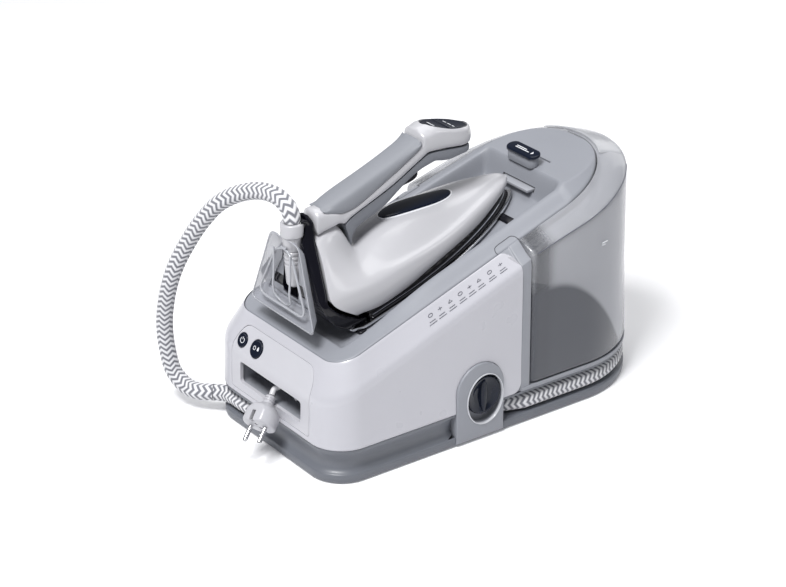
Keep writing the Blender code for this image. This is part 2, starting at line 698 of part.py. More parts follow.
def build_rest_pads():
    """Four pads on the cradle floor under the edge of the soleplate."""
    for name, x0, x1, u0, u1 in (("rest_pad_front", 40.0, 58.0, -14.0, -4.0),
                                 ("rest_pad_rear", 18.0, 42.0, 198.0, 208.0)):
        for side, label in ((-1.0, "left"), (1.0, "right")):
            xa, xb = sorted((side * x0, side * x1))
            low = [iron_pt(x, u, -2.1) for x, u in ((xa, u0), (xb, u0), (xb, u1), (xa, u1))]
            high = [iron_pt(x, u, -0.3) for x, u in ((xa, u0), (xb, u0), (xb, u1), (xa, u1))]
            add_object(f"{name}_{label}", loft([low, high]), "rubber")


# ---------------------------------------------------------------- inside the station
def build_inside():
    boiler = [(0.0, 28.0), (5.0, 35.0), (10.0, 36.0), (100.0, 36.0), (105.0, 35.0), (110.0, 28.0)]
    add_object("boiler", turned((20.0, -135.0, 80.0), (0, 1, 0), boiler, 32), "steel")
    add_object("boiler_heater", turned((20.0, -24.7, 80.0), (0, 1, 0),
                                       [(0.0, 22.0), (9.0, 22.0), (12.0, 18.0)], 24), "brass")
    add_object("water_pump", box(-88.0, -48.0, -112.0, -50.0, 37.5, 76.0), "black")
    add_object("steam_valve", turned((20.0, -80.0, 116.5), (0, 0, 1),
                                     [(0.0, 11.0), (17.0, 11.0), (20.0, 8.0)], 20), "brass")
    add_object("valve_plunger", turned((20.0, -80.0, 136.8), (0, 0, 1),
                                       [(0.0, 4.0), (7.5, 4.0), (8.3, 3.2)], 16), "steel")
    add_object("control_board", box(-62.0, 62.0, -186.6, -185.0, 83.0, 113.0), "board")
    feed = [(-68.0, -80.0, 76.3), (-68.0, -80.0, 90.0), (-60.0, -80.0, 98.0),
            (-40.0, -80.0, 98.0), (-13.0, -80.0, 98.0)]
    add_object("feed_tube", tube(smooth_path(feed, 3), 3.0, 10), "silicone")
    supply = [(0.0, 24.4, 62.0), (0.0, 20.0, 62.0), (0.0, 12.0, 62.0), (-16.0, 2.0, 62.0),
              (-50.0, -8.0, 60.0), (-68.0, -30.0, 58.0), (-68.0, -44.0, 58.0), (-68.0, -49.6, 58.0)]
    add_object("supply_tube", tube(smooth_path(supply, 3), 3.5, 10), "silicone")
    steam = [(31.4, -80.0, 124.0), (48.0, -80.0, 124.0), (66.0, -82.0, 112.0),
             (74.0, -90.0, 80.0), (74.0, -96.0, 38.0)]
    add_object("steam_tube", tube(smooth_path(steam, 3), 4.0, 10), "silicone")


# ---------------------------------------------------------------- cord, plug and hose
PLUG_FACE = Vector((17.0, -247.6, 41.0))
PLUG_AXIS = Vector((-0.35, 0.70, 0.62)).normalized()   # from the face back to the cord
PLUG_SIDE = Vector((0.93, 0.30, 0.18)).normalized()   # from one contact to the other


def build_cord_and_plug():
    coil = []
    for i in range(31):
        t = 2.0 * math.pi * 2.5 * i / 30.0
        coil.append(Vector((28.0 + 22.0 * math.cos(t), -180.0 + 13.0 * math.sin(t),
                            55.5 + 18.5 * i / 30.0)))
    add_object("cord_coil", tube(coil, 3.1, 6), "white")
    body = [(0.0, 17.0), (1.5, 18.0), (14.0, 18.0), (21.0, 13.5), (25.0, 6.5), (33.5, 5.0),
            (34.5, 4.4)]
    add_object("plug_body", turned(PLUG_FACE, PLUG_AXIS, body, 28), "white", 30.0)
    for label, side in (("left", -1.0), ("right", 1.0)):
        start = PLUG_FACE + PLUG_SIDE * 9.5 * side - PLUG_AXIS * GAP
        pin = [(0.0, 2.4), (17.0, 2.4), (19.0, 1.4)]
        add_object(f"plug_pin_{label}", turned(start, -PLUG_AXIS, pin, 12), "steel")
    tail_start = PLUG_FACE + PLUG_AXIS * 35.6
    tail = [tail_start, tail_start + PLUG_AXIS * 6.9,
            Vector((5.2, -212.4, 70.6)), Vector((11.4, -207.6, 71.0)),
            Vector((18.0, -204.2, 66.8)), Vector((22.5, -202.4, 59.6))]
    add_object("cord_tail", tube(smooth_path(tail, 4), 3.0, 10), "white")


def stowed_path():
    """Hose in the channel: root on the left, round the rear, under cover to the front left."""
    left_root = smooth_path(list(reversed(ROOT_PATH)), 2)
    path = left_root[:-1]
    path += [Vector((-102.5, y, HOSE_Z)) for y in (-70.0, -20.0, 40.0)]
    for i in range(13):
        t = math.pi - math.pi * i / 12.0
        path.append(Vector((102.5 * math.cos(t), BASE_REAR_Y + 102.5 * math.sin(t), HOSE_Z)))
    path += [Vector((102.5, 60.0, HOSE_Z))]
    path += smooth_path(COVERED_PATH + EXIT_PATH, 2)
    return path


def build_hose():
    add_object("hose_stowed", tube(stowed_path(), HOSE_R, 10), "fabric")
    path = smooth_path(LOOP_PATH, 2)
    add_object("hose_loop", tube(path, HOSE_R, 10), "fabric")
    foot = Vector(iron_pt(0.0, -38.0, 53.0))
    axis = (Vector((0.0, -190.9, 246.9)) - foot)
    length = axis.length
    boot = [(0.0, 7.0), (3.0, 8.6), (0.5 * length, 10.0), (length - 14.0, 11.2),
            (length - 13.0, 12.2), (length, 12.2)]
    add_object("hose_boot", turned(foot, axis, boot, 20), "white", 30.0)


# ---------------------------------------------------------------- iron
def iron_pt(x, u, w):
    """Point of the iron frame in the station frame."""
    c, s = math.cos(SOLE_TILT), math.sin(SOLE_TILT)
    return (x, SOLE_ORIGIN[0] + u * c - w * s, SOLE_ORIGIN[1] + u * s + w * c)


def sole_half(u):
    """Half width of the soleplate at u."""
    d = min(1.0, (SOLE_TIP_U - u) / 190.0)
    width = SOLE_HALF_W * (1.0 - (1.0 - d) ** 1.9) ** 0.72 if d > 0.0 else 0.0
    if u < 0.0:
        width -= 6.0 * (u / SOLE_HEEL_U) ** 2
    return width


def sole_outline(inset, tip_inset, heel_inset=None):
    """Full plan ring of the soleplate shape, heel centre round by the right to the heel."""
    heel = SOLE_HEEL_U + (inset if heel_inset is None else heel_inset)
    tip = SOLE_TIP_U - tip_inset
    us = [heel, heel + 0.5, -10.0, 0.0, 30.0, 60.0, 90.0, 120.0, 145.0, 168.0, 188.0, 204.0,
          217.0, 226.0]
    half = [(0.0, heel)]
    half += [(max(sole_half(u) - inset, 1.0), u) for u in us if heel - 0.1 < u < tip - 3.0]
    half.append((0.0, tip))
    return mirrored(half)


def iron_ring(outline, w):
    return [iron_pt(x, u, w) for x, u in outline]


SHELL_REAR = [(13.0, -4.0), (31.0, -22.0), (50.0, -35.0), (71.0, -23.0), (90.0, -11.5),
              (112.0, 0.5)]
SHELL_LOW = [(-4.0, 13.5), (11.0, 7.0), (50.0, 6.5), (80.0, 11.0), (120.0, 14.0),
             (165.0, 14.0), (200.0, 17.0), (234.0, 19.0)]
SHELL_CREASE = [(0.0, 49.0), (20.0, 47.0), (58.0, 43.0), (120.0, 37.0), (180.0, 34.0),
                (215.0, 30.0), (234.0, 24.0)]
SHELL_TOP = [(29.0, 58.0), (50.0, 64.0), (75.0, 66.0), (164.0, 46.5), (200.0, 39.0),
             (222.0, 33.0), (231.0, 28.0), (234.4, 25.0)]


def shell_section(u):
    """Right half section of the iron shell at u, bottom to top, as (x, w) pairs."""
    half = max(sole_half(u) + 0.6, 2.5)
    low, crease, top = (interp(t, u) for t in (SHELL_LOW, SHELL_CREASE, SHELL_TOP))
    inner = max(half - 8.0, half * 0.6)
    return [(half * 0.98, low), (half, 0.5 * (low + crease)), (inner, crease),
            (0.66 * inner, crease + 0.62 * (top - crease)), (0.34 * inner, top - 1.2),
            (0.16 * inner, top - 0.15)]


def tall_section(low, top):
    """Right half section at the heel, where the handle column rises."""
    return [(56.5, low), (57.5, 30.0), (56.5, 50.0), (40.0, 70.0), (22.0, 89.0), (11.0, top)]


def full_section(half, u_of):
    """Ring of points from a right half section; u_of gives u for each (x, w)."""
    right = [(x, u_of(w), w) for x, w in half]
    left = [(-x, u, w) for x, u, w in reversed(right)]
    return [iron_pt(x, u, w) for x, u, w in right + left]


def build_iron_shell():
    top = 95.6
    rings = [full_section(tall_section(13.5, top), lambda w: interp(SHELL_REAR, w)),
             full_section(tall_section(13.0, top), lambda w: 0.45 * interp(SHELL_REAR, w) + 1.0)]
    rings.append(full_section([(57.5, 9.0), (58.2, 28.0), (53.0, 47.5), (32.0, 66.0),
                               (18.0, 86.0), (13.0, top)], lambda w: 12.0))
    rings.append(full_section([(57.8, 7.0), (58.2, 27.0), (50.5, 46.5), (28.0, 58.0),
                               (16.0, 74.0), (13.0, top)], lambda w: 27.0))
    rings.append(full_section([(57.8, 6.8), (58.2, 26.5), (50.2, 46.0), (30.0, 55.0),
                               (14.0, 57.5), (6.0, 58.0)], lambda w: 29.0))
    for u in (50.0, 75.0, 98.0, 120.0, 142.0, 164.0, 184.0, 202.0, 216.0, 226.0, 232.0, 234.4):
        rings.append(full_section(shell_section(u), lambda w, u=u: u))
    obj = add_object("iron_shell", loft(rings), "white", 28.0)
    cut(obj, make_cutter("cut_shell_inside", shell_cavity()))
    cut(obj, make_cutter("cut_shell_slot", boot_slot(13.0)))
    return obj


def shell_cavity():
    rings = []
    for u in (4.0, 30.0, 60.0, 90.0, 120.0, 145.0, 168.0, 188.0, 204.0, 217.0, 229.2):
        half = max(sole_half(u) - 3.4, 3.0)
        crease = interp(SHELL_CREASE, u) - 5.0
        top = min(interp(SHELL_TOP, max(u, 40.0)) - 6.0, 52.0)
        section = [(half, -6.0), (half, 0.5 * crease), (max(half - 9.0, 0.55 * half), crease),
                   (0.4 * half, crease + 0.6 * (top - crease)), (0.15 * half, top)]
        rings.append(full_section(section, lambda w, u=u: u))
    return loft(rings)


def boot_slot(radius):
    """Round-bottomed slot for the hose boot, open to the rear."""
    low = Vector(iron_pt(0.0, -39.0, 44.0))
    high = Vector(iron_pt(0.0, -14.0, 138.0))
    back = Vector(iron_pt(0.0, -60.0, 0.0)) - Vector(iron_pt(0.0, 0.0, 0.0))
    rings = []
    for mid in (low, high):
        ring = []
        for i in range(13):
            t = math.pi * i / 12.0
            ring.append(mid + Vector((radius * math.cos(t), radius * math.sin(t), 0.0)))
        ring.append(ring[-1] + back)
        ring.append(ring[0] + back)
        rings.append(ring)
    return loft(rings)


def build_soleplate():
    rings = [iron_ring(sole_outline(1.2, 1.6), 0.0), iron_ring(sole_outline(0.0, 0.0), 1.2),
             iron_ring(sole_outline(0.0, 0.0), SOLE_THICK - 0.4),
             iron_ring(sole_outline(0.5, 0.6), SOLE_THICK)]
    add_object("soleplate", loft(rings, "ladder"), "steel")
    shield = sole_outline(5.0, 15.0, 23.6)
    add_object("heat_shield", loft([iron_ring(shield, SOLE_THICK + GAP), iron_ring(shield, 16.0)],
                                   "ladder"), "black")
    chamber = [iron_ring(sole_outline(20.0, 48.0, 30.0), 16.3),
               iron_ring(sole_outline(22.0, 52.0, 32.0), 27.0)]
    add_object("steam_chamber", loft(chamber, "ladder"), "steel")
    bottom = Vector(iron_pt(0.0, 90.0, 27.3))
    normal = Vector(iron_pt(0.0, 0.0, 1.0)) - Vector(iron_pt(0.0, 0.0, 0.0))
    add_object("thermostat", turned(bottom, normal, [(0.0, 9.0), (6.0, 9.0), (8.0, 5.0)], 20),
               "brass")


def build_heel_frame():
    """Black A-shaped frame between the shell and the heel stand."""
    levels = [(3.9, 51.0, -18.8, 4.2), (8.0, 53.5, -22.0, 3.2), (12.6, 56.0, -27.0, -6.0),
              (31.0, 57.5, -40.0, -26.0),
              (50.0, 57.5, -44.5, -36.0), (71.0, 41.5, -36.0, -24.0), (90.0, 23.5, -28.0, -12.6),
              (105.0, 13.0, -22.0, -4.6), (112.0, 10.5, -16.0, -1.2), (119.0, 7.0, -9.5, -2.5)]
    rings = []
    for w, half, u0, u1 in levels:
        rings.append([iron_pt(x, u, w) for x, u in ((-half, u0), (half, u0), (half, u1),
                                                    (-half, u1))])
    obj = add_object("heel_frame", loft(rings), "black", 30.0)
    cut(obj, make_cutter("cut_frame_slot", boot_slot(13.4)))
    return obj


def build_heel_stand():
    """Smoke-coloured dish behind the heel, open to the rear, slotted for the hose boot."""
    def outline(half_low, half_high, low, high, inset):
        """Rounded trapezoid; low and high are (u, w) of its bottom and top edges."""
        pts = []
        for side in (1, -1):
            corners = [(half_low - inset, 0.0), (half_high - inset, 1.0)]
            if side < 0:
                corners.reverse()
            for half, t in corners:
                for k in range(3):
                    turn = k / 2.0 if (t == 0.0) == (side > 0) else 1.0 - k / 2.0
                    cut_x = 7.0 * (1.0 - turn)
                    cut_t = 0.09 * turn
                    s = t + (cut_t if t == 0.0 else -cut_t)
                    x = half - cut_x
                    pts.append((side * x, s))
        edge = inset / 90.0
        ring = []
        for x, s in pts:
            s = edge + s * (1.0 - 2.0 * edge)
            ring.append(iron_pt(x, low[0] + (high[0] - low[0]) * s,
                                low[1] + (high[1] - low[1]) * s))
        return ring

    front_low, front_high = (-51.8, 32.0), (-27.6, 98.0)
    rear_low, rear_high = (-63.0, 27.0), (-32.5, 109.0)
    rings = [outline(50.0, 22.0, front_low, front_high, 0.0),
             outline(58.0, 26.0, rear_low, rear_high, 0.0),
             outline(58.0, 26.0, rear_low, rear_high, 2.4)]
    floor_low = (front_low[0] - 2.6, front_low[1])
    floor_high = (front_high[0] - 1.2, front_high[1])
    rings.append(outline(50.0, 22.0, floor_low, floor_high, 3.0))
    obj = add_object("heel_stand", loft(rings), "smoke", 30.0)
    cut(obj, make_cutter("cut_stand_slot", boot_slot(13.8)))
    return obj


UNDERSIDE_LOW = [(30.0, 61.5), (33.0, 68.0), (38.0, 77.0), (60.0, 80.0), (80.0, 82.0), (97.0, 88.0),
                 (120.0, 95.0), (134.0, 97.0), (150.0, 97.0), (164.0, 90.0), (192.0, 87.5)]
BAND_LOW = [(26.0, 86.0), (30.0, 92.0), (40.0, 95.5), (88.0, 99.5), (131.0, 108.5),
            (142.0, 111.0), (158.0, 107.0), (172.0, 102.0), (192.0, 95.5), (204.0, 98.0)]
GRIP_LOW = [(10.0, 117.0), (16.0, 115.5), (28.0, 108.0), (42.0, 104.5), (80.0, 110.0),
            (124.0, 119.5), (139.0, 126.0)]
GRIP_TOP = [(10.0, 119.5), (20.0, 121.5), (60.0, 124.0), (101.0, 127.0), (139.0, 131.5)]
GRIP_HALF = [(10.0, 13.0), (42.0, 16.0), (80.0, 15.5), (124.0, 16.0), (142.0, 17.5),
             (160.0, 19.5), (180.0, 20.5), (195.0, 17.0), (204.0, 7.0)]


def head_top(u):
    """Sloping oval face of the handle head."""
    return 137.0 - 0.55 * (u - 153.0)


def build_handle():
    rings = []
    half = 11.0
    for u, low, high in ((-1.4, 96.0, 104.0), (4.0, 96.0, 118.0), (10.0, 96.0, 116.4),
                         (16.0, 96.0, 115.2), (27.4, 96.0, 108.0)):
        half = min(16.0, 13.0 + 0.15 * u)
        rings.append(handle_section(half, u, low, high))
    for u in (30.0, 40.0, 42.0, 80.0, 88.0, 124.0, 131.0, 138.5):
        rings.append(handle_section(interp(GRIP_HALF, u), u, interp(BAND_LOW, u) + GAP,
                                    interp(GRIP_LOW, u) - GAP))
    for u in (142.0, 150.0, 158.0, 172.0, 182.0, 192.0, 200.0, 204.0):
        top = min(head_top(u) - 3.6, 133.0)
        rings.append(handle_section(interp(GRIP_HALF, u), u, interp(BAND_LOW, u) + GAP, top))
    add_object("handle_core", loft(rings), "white", 30.0)

    grip = []
    for u in (11.0, 16.0, 28.0, 42.0, 60.0, 80.0, 102.0, 124.0, 138.6):
        half, low, top = (interp(t, u) for t in (GRIP_HALF, GRIP_LOW, GRIP_TOP))
        pts = [(half, low), (half, low + 0.35 * (top - low)), (0.8 * half, top - 3.2),
               (0.45 * half, top - 0.8), (0.0, top)]
        ring = pts + [(-x, w) for x, w in reversed(pts[:-1])]
        grip.append([iron_pt(x, u, w) for x, w in ring])
    add_object("handle_grip", loft(grip), "soft_grey", 35.0)

    under = []
    for u in (30.0, 34.0, 40.0, 60.0, 80.0, 88.0, 97.0, 120.0, 131.0, 134.0, 142.0, 150.0,
              158.0, 164.0, 172.0, 192.0):
        half = interp(GRIP_HALF, max(u, 42.0)) - 1.0
        low, top = interp(UNDERSIDE_LOW, u), interp(BAND_LOW, u)
        pts = [(half, top), (half, 0.5 * (low + top)), (0.6 * half, low)]
        ring = pts + [(-x, w) for x, w in reversed(pts)]
        under.append([iron_pt(x, u, w) for x, w in ring])
    obj = add_object("handle_underside", loft(under), "soft_grey", 35.0)
    pocket_low = [iron_pt(x, u, 60.0) for x, u in ((-9, 98), (9, 98), (9, 131), (-9, 131))]
    pocket_top = [iron_pt(x, u, w) for x, u, w in ((-9, 98, 97.0), (9, 98, 97.0),
                                                   (9, 131, 106.0), (-9, 131, 106.0))]
    cut(obj, make_cutter("cut_trigger_pocket", loft([pocket_low, pocket_top])))


def handle_section(half, u, low, high):
    pts = [(0.86 * half, low), (half, low + 0.3 * (high - low)),
           (half, low + 0.75 * (high - low)), (0.9 * half, high)]
    ring = pts + [(-x, w) for x, w in reversed(pts)]
    return [iron_pt(x, u, w) for x, w in ring]


def build_handle_controls():
    pivot = iron_pt(0.0, 99.0, 94.0)
    levels = []
    for u, low, top in ((98.6, 91.0, 95.4), (110.0, 89.5, 98.0), (126.0, 89.0, 100.5),
                        (129.5, 91.5, 101.0)):
        levels.append([iron_pt(x, u, w) for x, w in ((-8.4, low), (8.4, low), (8.4, top),
                                                     (-8.4, top))])
    add_object("steam_trigger", loft(levels), "black", origin=pivot)

    for name, u0, u1 in (("handle_rear_button", 154.0, 174.6), ("handle_front_button", 175.4, 203.0)):
        ring = button_outline(u0, u1)
        rings = [[iron_pt(x, u, head_top(u) + lift) for x, u in ring] for lift in (-3.0, -0.6)]
        top = button_outline(u0, u1, 0.8)
        rings.append([iron_pt(x, u, head_top(u)) for x, u in top])
        add_object(name, loft(rings), "navy", 30.0, origin=iron_pt(0.0, 0.5 * (u0 + u1), 124.0))


def button_outline(u0, u1, inset=0.0):
    """Slice of the oval handle face between u0 and u1."""
    mid, long_r, wide_r = 178.5, 24.8 - inset, 16.5 - inset
    u0, u1 = max(u0 + inset, mid - long_r), min(u1 - inset, mid + long_r)
    right = []
    for i in range(9):
        u = u0 + (u1 - u0) * i / 8.0
        x = wide_r * math.sqrt(max(0.0, 1.0 - ((u - mid) / long_r) ** 2))
        right.append((max(x, 1.0), u))
    return right + [(-x, u) for x, u in reversed(right)]


def build_label_inlay():
    """Flat oval set on the crown of the shell."""
    rings = []
    for lift, inset in ((0.3, 0.0), (1.1, 0.0), (1.5, 0.6)):
        ring = []
        for i in range(28):
            t = 2.0 * math.pi * i / 28.0
            u = 120.5 + (44.0 - inset) * math.cos(t)
            x = (13.4 - inset) * math.copysign(abs(math.sin(t)) ** 0.8, math.sin(t))
            ring.append(iron_pt(x, u, interp(SHELL_TOP, u) + lift))
        rings.append(ring)
    add_object("label_inlay", loft(rings), "navy")


def main():
    clear_scene()
    base = build_base_plate()
    cut(base, make_cutter("cut_base_drain", drain_prism(GAP)))
    build_feet_and_screws()
    build_side_casing()
    build_front_panel()
    build_panel_buttons()
    build_cord_bay()
    build_rear_frame()
    build_top_deck()
    build_water_tank()
    build_tank_lid()
    build_drain()
    build_lock()
    build_rest_pads()
    build_inside()
    build_cord_and_plug()
    build_hose()
    build_soleplate()
    build_iron_shell()
    build_heel_frame()
    build_heel_stand()
    build_handle()
    build_handle_controls()
    build_label_inlay()


main()
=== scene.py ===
"""Looks for the steam generator iron: fine versions of its pieces, their materials, light and camera.

Station frame as in the CAD, but lengths here are in millimetres until make() scales them.
"""
import math

import bmesh
import bpy
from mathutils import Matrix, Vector


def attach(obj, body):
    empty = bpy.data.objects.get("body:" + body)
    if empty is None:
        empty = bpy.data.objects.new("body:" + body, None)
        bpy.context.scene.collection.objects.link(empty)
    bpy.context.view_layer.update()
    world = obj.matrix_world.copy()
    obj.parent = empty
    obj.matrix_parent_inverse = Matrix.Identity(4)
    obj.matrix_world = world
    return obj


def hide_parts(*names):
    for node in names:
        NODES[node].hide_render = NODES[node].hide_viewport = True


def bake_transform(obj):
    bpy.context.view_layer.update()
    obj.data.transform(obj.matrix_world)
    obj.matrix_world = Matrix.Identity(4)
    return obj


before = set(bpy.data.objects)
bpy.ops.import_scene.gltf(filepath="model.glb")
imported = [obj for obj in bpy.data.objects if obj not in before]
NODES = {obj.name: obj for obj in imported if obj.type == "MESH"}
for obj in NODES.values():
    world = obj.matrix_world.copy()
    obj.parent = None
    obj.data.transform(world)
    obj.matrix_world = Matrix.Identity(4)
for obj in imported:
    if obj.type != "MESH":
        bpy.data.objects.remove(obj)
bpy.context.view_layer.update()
MM = 0.001


# ---------------------------------------------------------------- materials
class Nodes:
    """Small helper that builds a node tree for one material."""

    def __init__(self, name, rough=0.4, metal=0.0):
        self.mat = bpy.data.materials.new(name)
        self.mat.use_nodes = True
        self.tree = self.mat.node_tree
        self.shader = self.tree.nodes["Principled BSDF"]
        self.shader.inputs["Roughness"].default_value = rough
        self.shader.inputs["Metallic"].default_value = metal
        self.coord = self.add("ShaderNodeTexCoord")

    def add(self, kind, **values):
        node = self.tree.nodes.new(kind)
        for key, value in values.items():
            if hasattr(node, key):
                setattr(node, key, value)
            else:
                node.inputs[key.replace("_", " ")].default_value = value
        return node

    def link(self, source, target):
        self.tree.links.new(source, target)

    def noise(self, scale, detail=3.0, space="Object", stretch=None):
        node = self.add("ShaderNodeTexNoise", Scale=scale, Detail=detail)
        source = self.coord.outputs[space]
        if stretch:
            mapping = self.add("ShaderNodeMapping")
            mapping.inputs["Scale"].default_value = stretch
            self.link(source, mapping.inputs["Vector"])
            source = mapping.outputs["Vector"]
        self.link(source, node.inputs["Vector"])
        return node.outputs["Fac"]

    def ramp(self, fac, stops):
        node = self.add("ShaderNodeValToRGB")
        ramp = node.color_ramp
        while len(ramp.elements) < len(stops):
            ramp.elements.new(0.5)
        for element, (place, colour) in zip(ramp.elements, stops):
            element.position = place
            element.color = (*colour, 1.0) if len(colour) == 3 else colour
        self.link(fac, node.inputs["Fac"])
        return node.outputs["Color"]

    def remap(self, fac, low, high):
        node = self.add("ShaderNodeMapRange")
        node.inputs["To Min"].default_value = low
        node.inputs["To Max"].default_value = high
        self.link(fac, node.inputs["Value"])
        return node.outputs["Result"]

    def math(self, op, a, b=None):
        node = self.add("ShaderNodeMath", operation=op)
        for slot, value in enumerate((a, b)):
            if value is None:
                continue
            if isinstance(value, (int, float)):
                node.inputs[slot].default_value = value
            else:
                self.link(value, node.inputs[slot])
        return node.outputs["Value"]

    def bump(self, height, strength, distance=0.001):
        node = self.add("ShaderNodeBump", Strength=strength, Distance=distance)
        self.link(height, node.inputs["Height"])
        self.link(node.outputs["Normal"], self.shader.inputs["Normal"])

    def colour(self, source):
        self.link(source, self.shader.inputs["Base Color"])

    def roughness(self, source):
        self.link(source, self.shader.inputs["Roughness"])


def shade(colour, k):
    return tuple(min(1.0, c * k) for c in colour)


def plastic(name, colour, rough, grain=900.0, depth=0.08, coat=0.0, spread=0.04, shine=0.5):
    """Moulded plastic: faint colour drift, patchy gloss and a fine surface grain."""
    n = Nodes(name, rough)
    drift = n.noise(14.0, 4.0)
    n.colour(n.ramp(drift, [(0.3, shade(colour, 1.0 - spread)), (0.7, shade(colour, 1.0 + spread))]))
    n.roughness(n.remap(n.noise(34.0, 2.0), rough * 0.93, min(1.0, rough * 1.07)))
    n.bump(n.noise(grain, 2.0), depth, 0.0004)
    n.shader.inputs["Specular IOR Level"].default_value = shine
    n.shader.inputs["Coat Weight"].default_value = coat
    n.shader.inputs["Coat Roughness"].default_value = 0.08
    return n.mat


def metal(name, colour, rough, stretch=(1.0, 1.0, 1.0), scale=400.0):
    """Metal with fine lines along its length and patchy polish."""
    n = Nodes(name, rough, 1.0)
    lines = n.noise(scale, 3.0, stretch=stretch)
    n.colour(n.ramp(lines, [(0.3, shade(colour, 0.90)), (0.7, shade(colour, 1.08))]))
    n.roughness(n.remap(lines, rough * 0.7, rough * 1.4))
    n.bump(lines, 0.06, 0.0003)
    return n.mat


def smoky(name, colour, rough, solid, painted_shade_colour=None, z_low=0.05, z_high=0.2, solid_low=None, front_shade_strip=None):
    """See-through plastic; painted shade can make it darker and less see-through below a level that drops
    towards the rear, and a painted shade band can darken its front.
    """
    n = Nodes(name, rough)
    drift = n.noise(9.0, 2.0)
    base = n.ramp(drift, [(0.3, shade(colour, 0.96)), (0.7, shade(colour, 1.04))])
    facing = n.add("ShaderNodeLayerWeight", Blend=0.35)
    rim = n.remap(facing.outputs["Facing"], 0.0, 0.45)
    cover = n.math("ADD", rim, solid)
    # Painted shade: below a level that drops towards the rear, the colour turns to the dark painted shade
    # colour and the plastic grows less see-through.
    if painted_shade_colour:
        split = n.add("ShaderNodeSeparateXYZ")
        n.link(n.coord.outputs["Object"], split.inputs["Vector"])
        level = n.add("ShaderNodeMapRange")
        level.inputs["From Min"].default_value = z_low
        level.inputs["From Max"].default_value = z_high
        level.interpolation_type = "SMOOTHSTEP"
        rear = n.math("MAXIMUM", n.math("SUBTRACT", split.outputs["Y"], 0.06), 0.0)
        n.link(n.math("ADD", split.outputs["Z"], n.math("MULTIPLY", n.math("MULTIPLY", rear, rear), 9.0)),
               level.inputs["Value"])
        mix = n.add("ShaderNodeMix", data_type="RGBA")
        n.link(level.outputs["Result"], mix.inputs[0])
        mix.inputs[6].default_value = (*painted_shade_colour, 1.0)
        n.link(base, mix.inputs[7])
        base = mix.outputs[2]
        fall = n.remap(level.outputs["Result"], solid_low - solid, 0.0)
        cover = n.math("ADD", cover, fall)
        # Painted shade: a band along the front of the piece, mixed towards the dark painted shade colour.
        if front_shade_strip:
            depth = n.add("ShaderNodeMapRange")
            depth.inputs["From Min"].default_value = front_shade_strip[0]
            depth.inputs["From Max"].default_value = front_shade_strip[1]
            depth.interpolation_type = "SMOOTHSTEP"
            n.link(split.outputs["Y"], depth.inputs["Value"])
            edge = n.add("ShaderNodeMix", data_type="RGBA")
            n.link(n.ramp(depth.outputs["Result"], [(0.0, (0.35, 0.35, 0.35)), (0.08, (0.9, 0.9, 0.9)),
                                                    (0.6, (0.75, 0.75, 0.75)),
                                                    (1.0, (0.0, 0.0, 0.0))]), edge.inputs[0])
            n.link(base, edge.inputs[6])
            edge.inputs[7].default_value = (*shade(painted_shade_colour, 0.9), 1.0)
            base = edge.outputs[2]
    n.colour(base)
    n.link(n.math("MINIMUM", cover, 0.97), n.shader.inputs["Alpha"])
    n.roughness(n.remap(n.noise(40.0, 3.0), rough * 0.8, rough * 1.3))
    n.bump(n.noise(300.0, 2.0), 0.03, 0.0003)
    return n.mat


def braided(name):
    """Chevron weave on a round sleeve: light zigzag bands over grey, raised thread by thread."""
    n = Nodes(name, 0.85)
    split = n.add("ShaderNodeSeparateXYZ")
    n.link(n.coord.outputs["UV"], split.inputs["Vector"])
    along, around = split.outputs["X"], split.outputs["Y"]
    saw = n.math("FRACT", n.math("MULTIPLY", around, 5.0))
    zig = n.math("ABSOLUTE", n.math("SUBTRACT", saw, 0.5))
    band = n.math("FRACT", n.math("ADD", n.math("MULTIPLY", along, 1.0), n.math("MULTIPLY", zig, 1.3)))
    wave = n.math("ABSOLUTE", n.math("SUBTRACT", band, 0.5))
    colour = n.ramp(wave, [(0.17, (0.17, 0.175, 0.20)), (0.27, (0.66, 0.66, 0.69)),
                           (0.5, (0.84, 0.84, 0.86))])
    fuzz = n.noise(1800.0, 3.0)
    mix = n.add("ShaderNodeMix", data_type="RGBA", blend_type="MULTIPLY")
    mix.inputs[0].default_value = 0.35
    n.link(colour, mix.inputs[6])
    n.link(n.ramp(fuzz, [(0.3, (0.6, 0.6, 0.6)), (0.7, (1.0, 1.0, 1.0))]), mix.inputs[7])
    n.colour(mix.outputs[2])
    thread = n.math("SINE", n.math("MULTIPLY", n.math("ADD", n.math("MULTIPLY", along, 4.0),
                                                      n.math("MULTIPLY", zig, 5.2)), 6.283))
    height = n.math("ADD", n.math("MULTIPLY", wave, 1.6), n.math("MULTIPLY", thread, 0.18))
    n.bump(n.math("ADD", height, n.math("MULTIPLY", fuzz, 0.35)), 0.75, 0.0008)
    n.shader.inputs["Sheen Weight"].default_value = 0.35
    return n.mat


def corrugated(name):
    """Black edge of the heater plate: fine ribs all round."""
    n = Nodes(name, 0.28)
    wave = n.add("ShaderNodeTexWave", Scale=140.0, Distortion=0.6)
    n.link(n.coord.outputs["Object"], wave.inputs["Vector"])
    n.colour(n.ramp(wave.outputs["Fac"], [(0.2, (0.003, 0.003, 0.005)), (0.8, (0.02, 0.02, 0.025))]))
    n.bump(wave.outputs["Fac"], 0.5, 0.0006)
    return n.mat


WHITE = plastic("mat_white", (0.47, 0.47, 0.51), 0.28, 700.0, 0.05, 0.35, 0.015)
PANEL_WHITE = plastic("mat_panel_white", (0.49, 0.49, 0.525), 0.38, 900.0, 0.07, 0.1, 0.015)
IRON_WHITE = plastic("mat_iron_white", (0.45, 0.45, 0.475), 0.26, 600.0, 0.04, 0.35, 0.015)
DECK = plastic("mat_deck", (0.245, 0.255, 0.285), 0.46, 1500.0, 0.16, 0.0, 0.03)
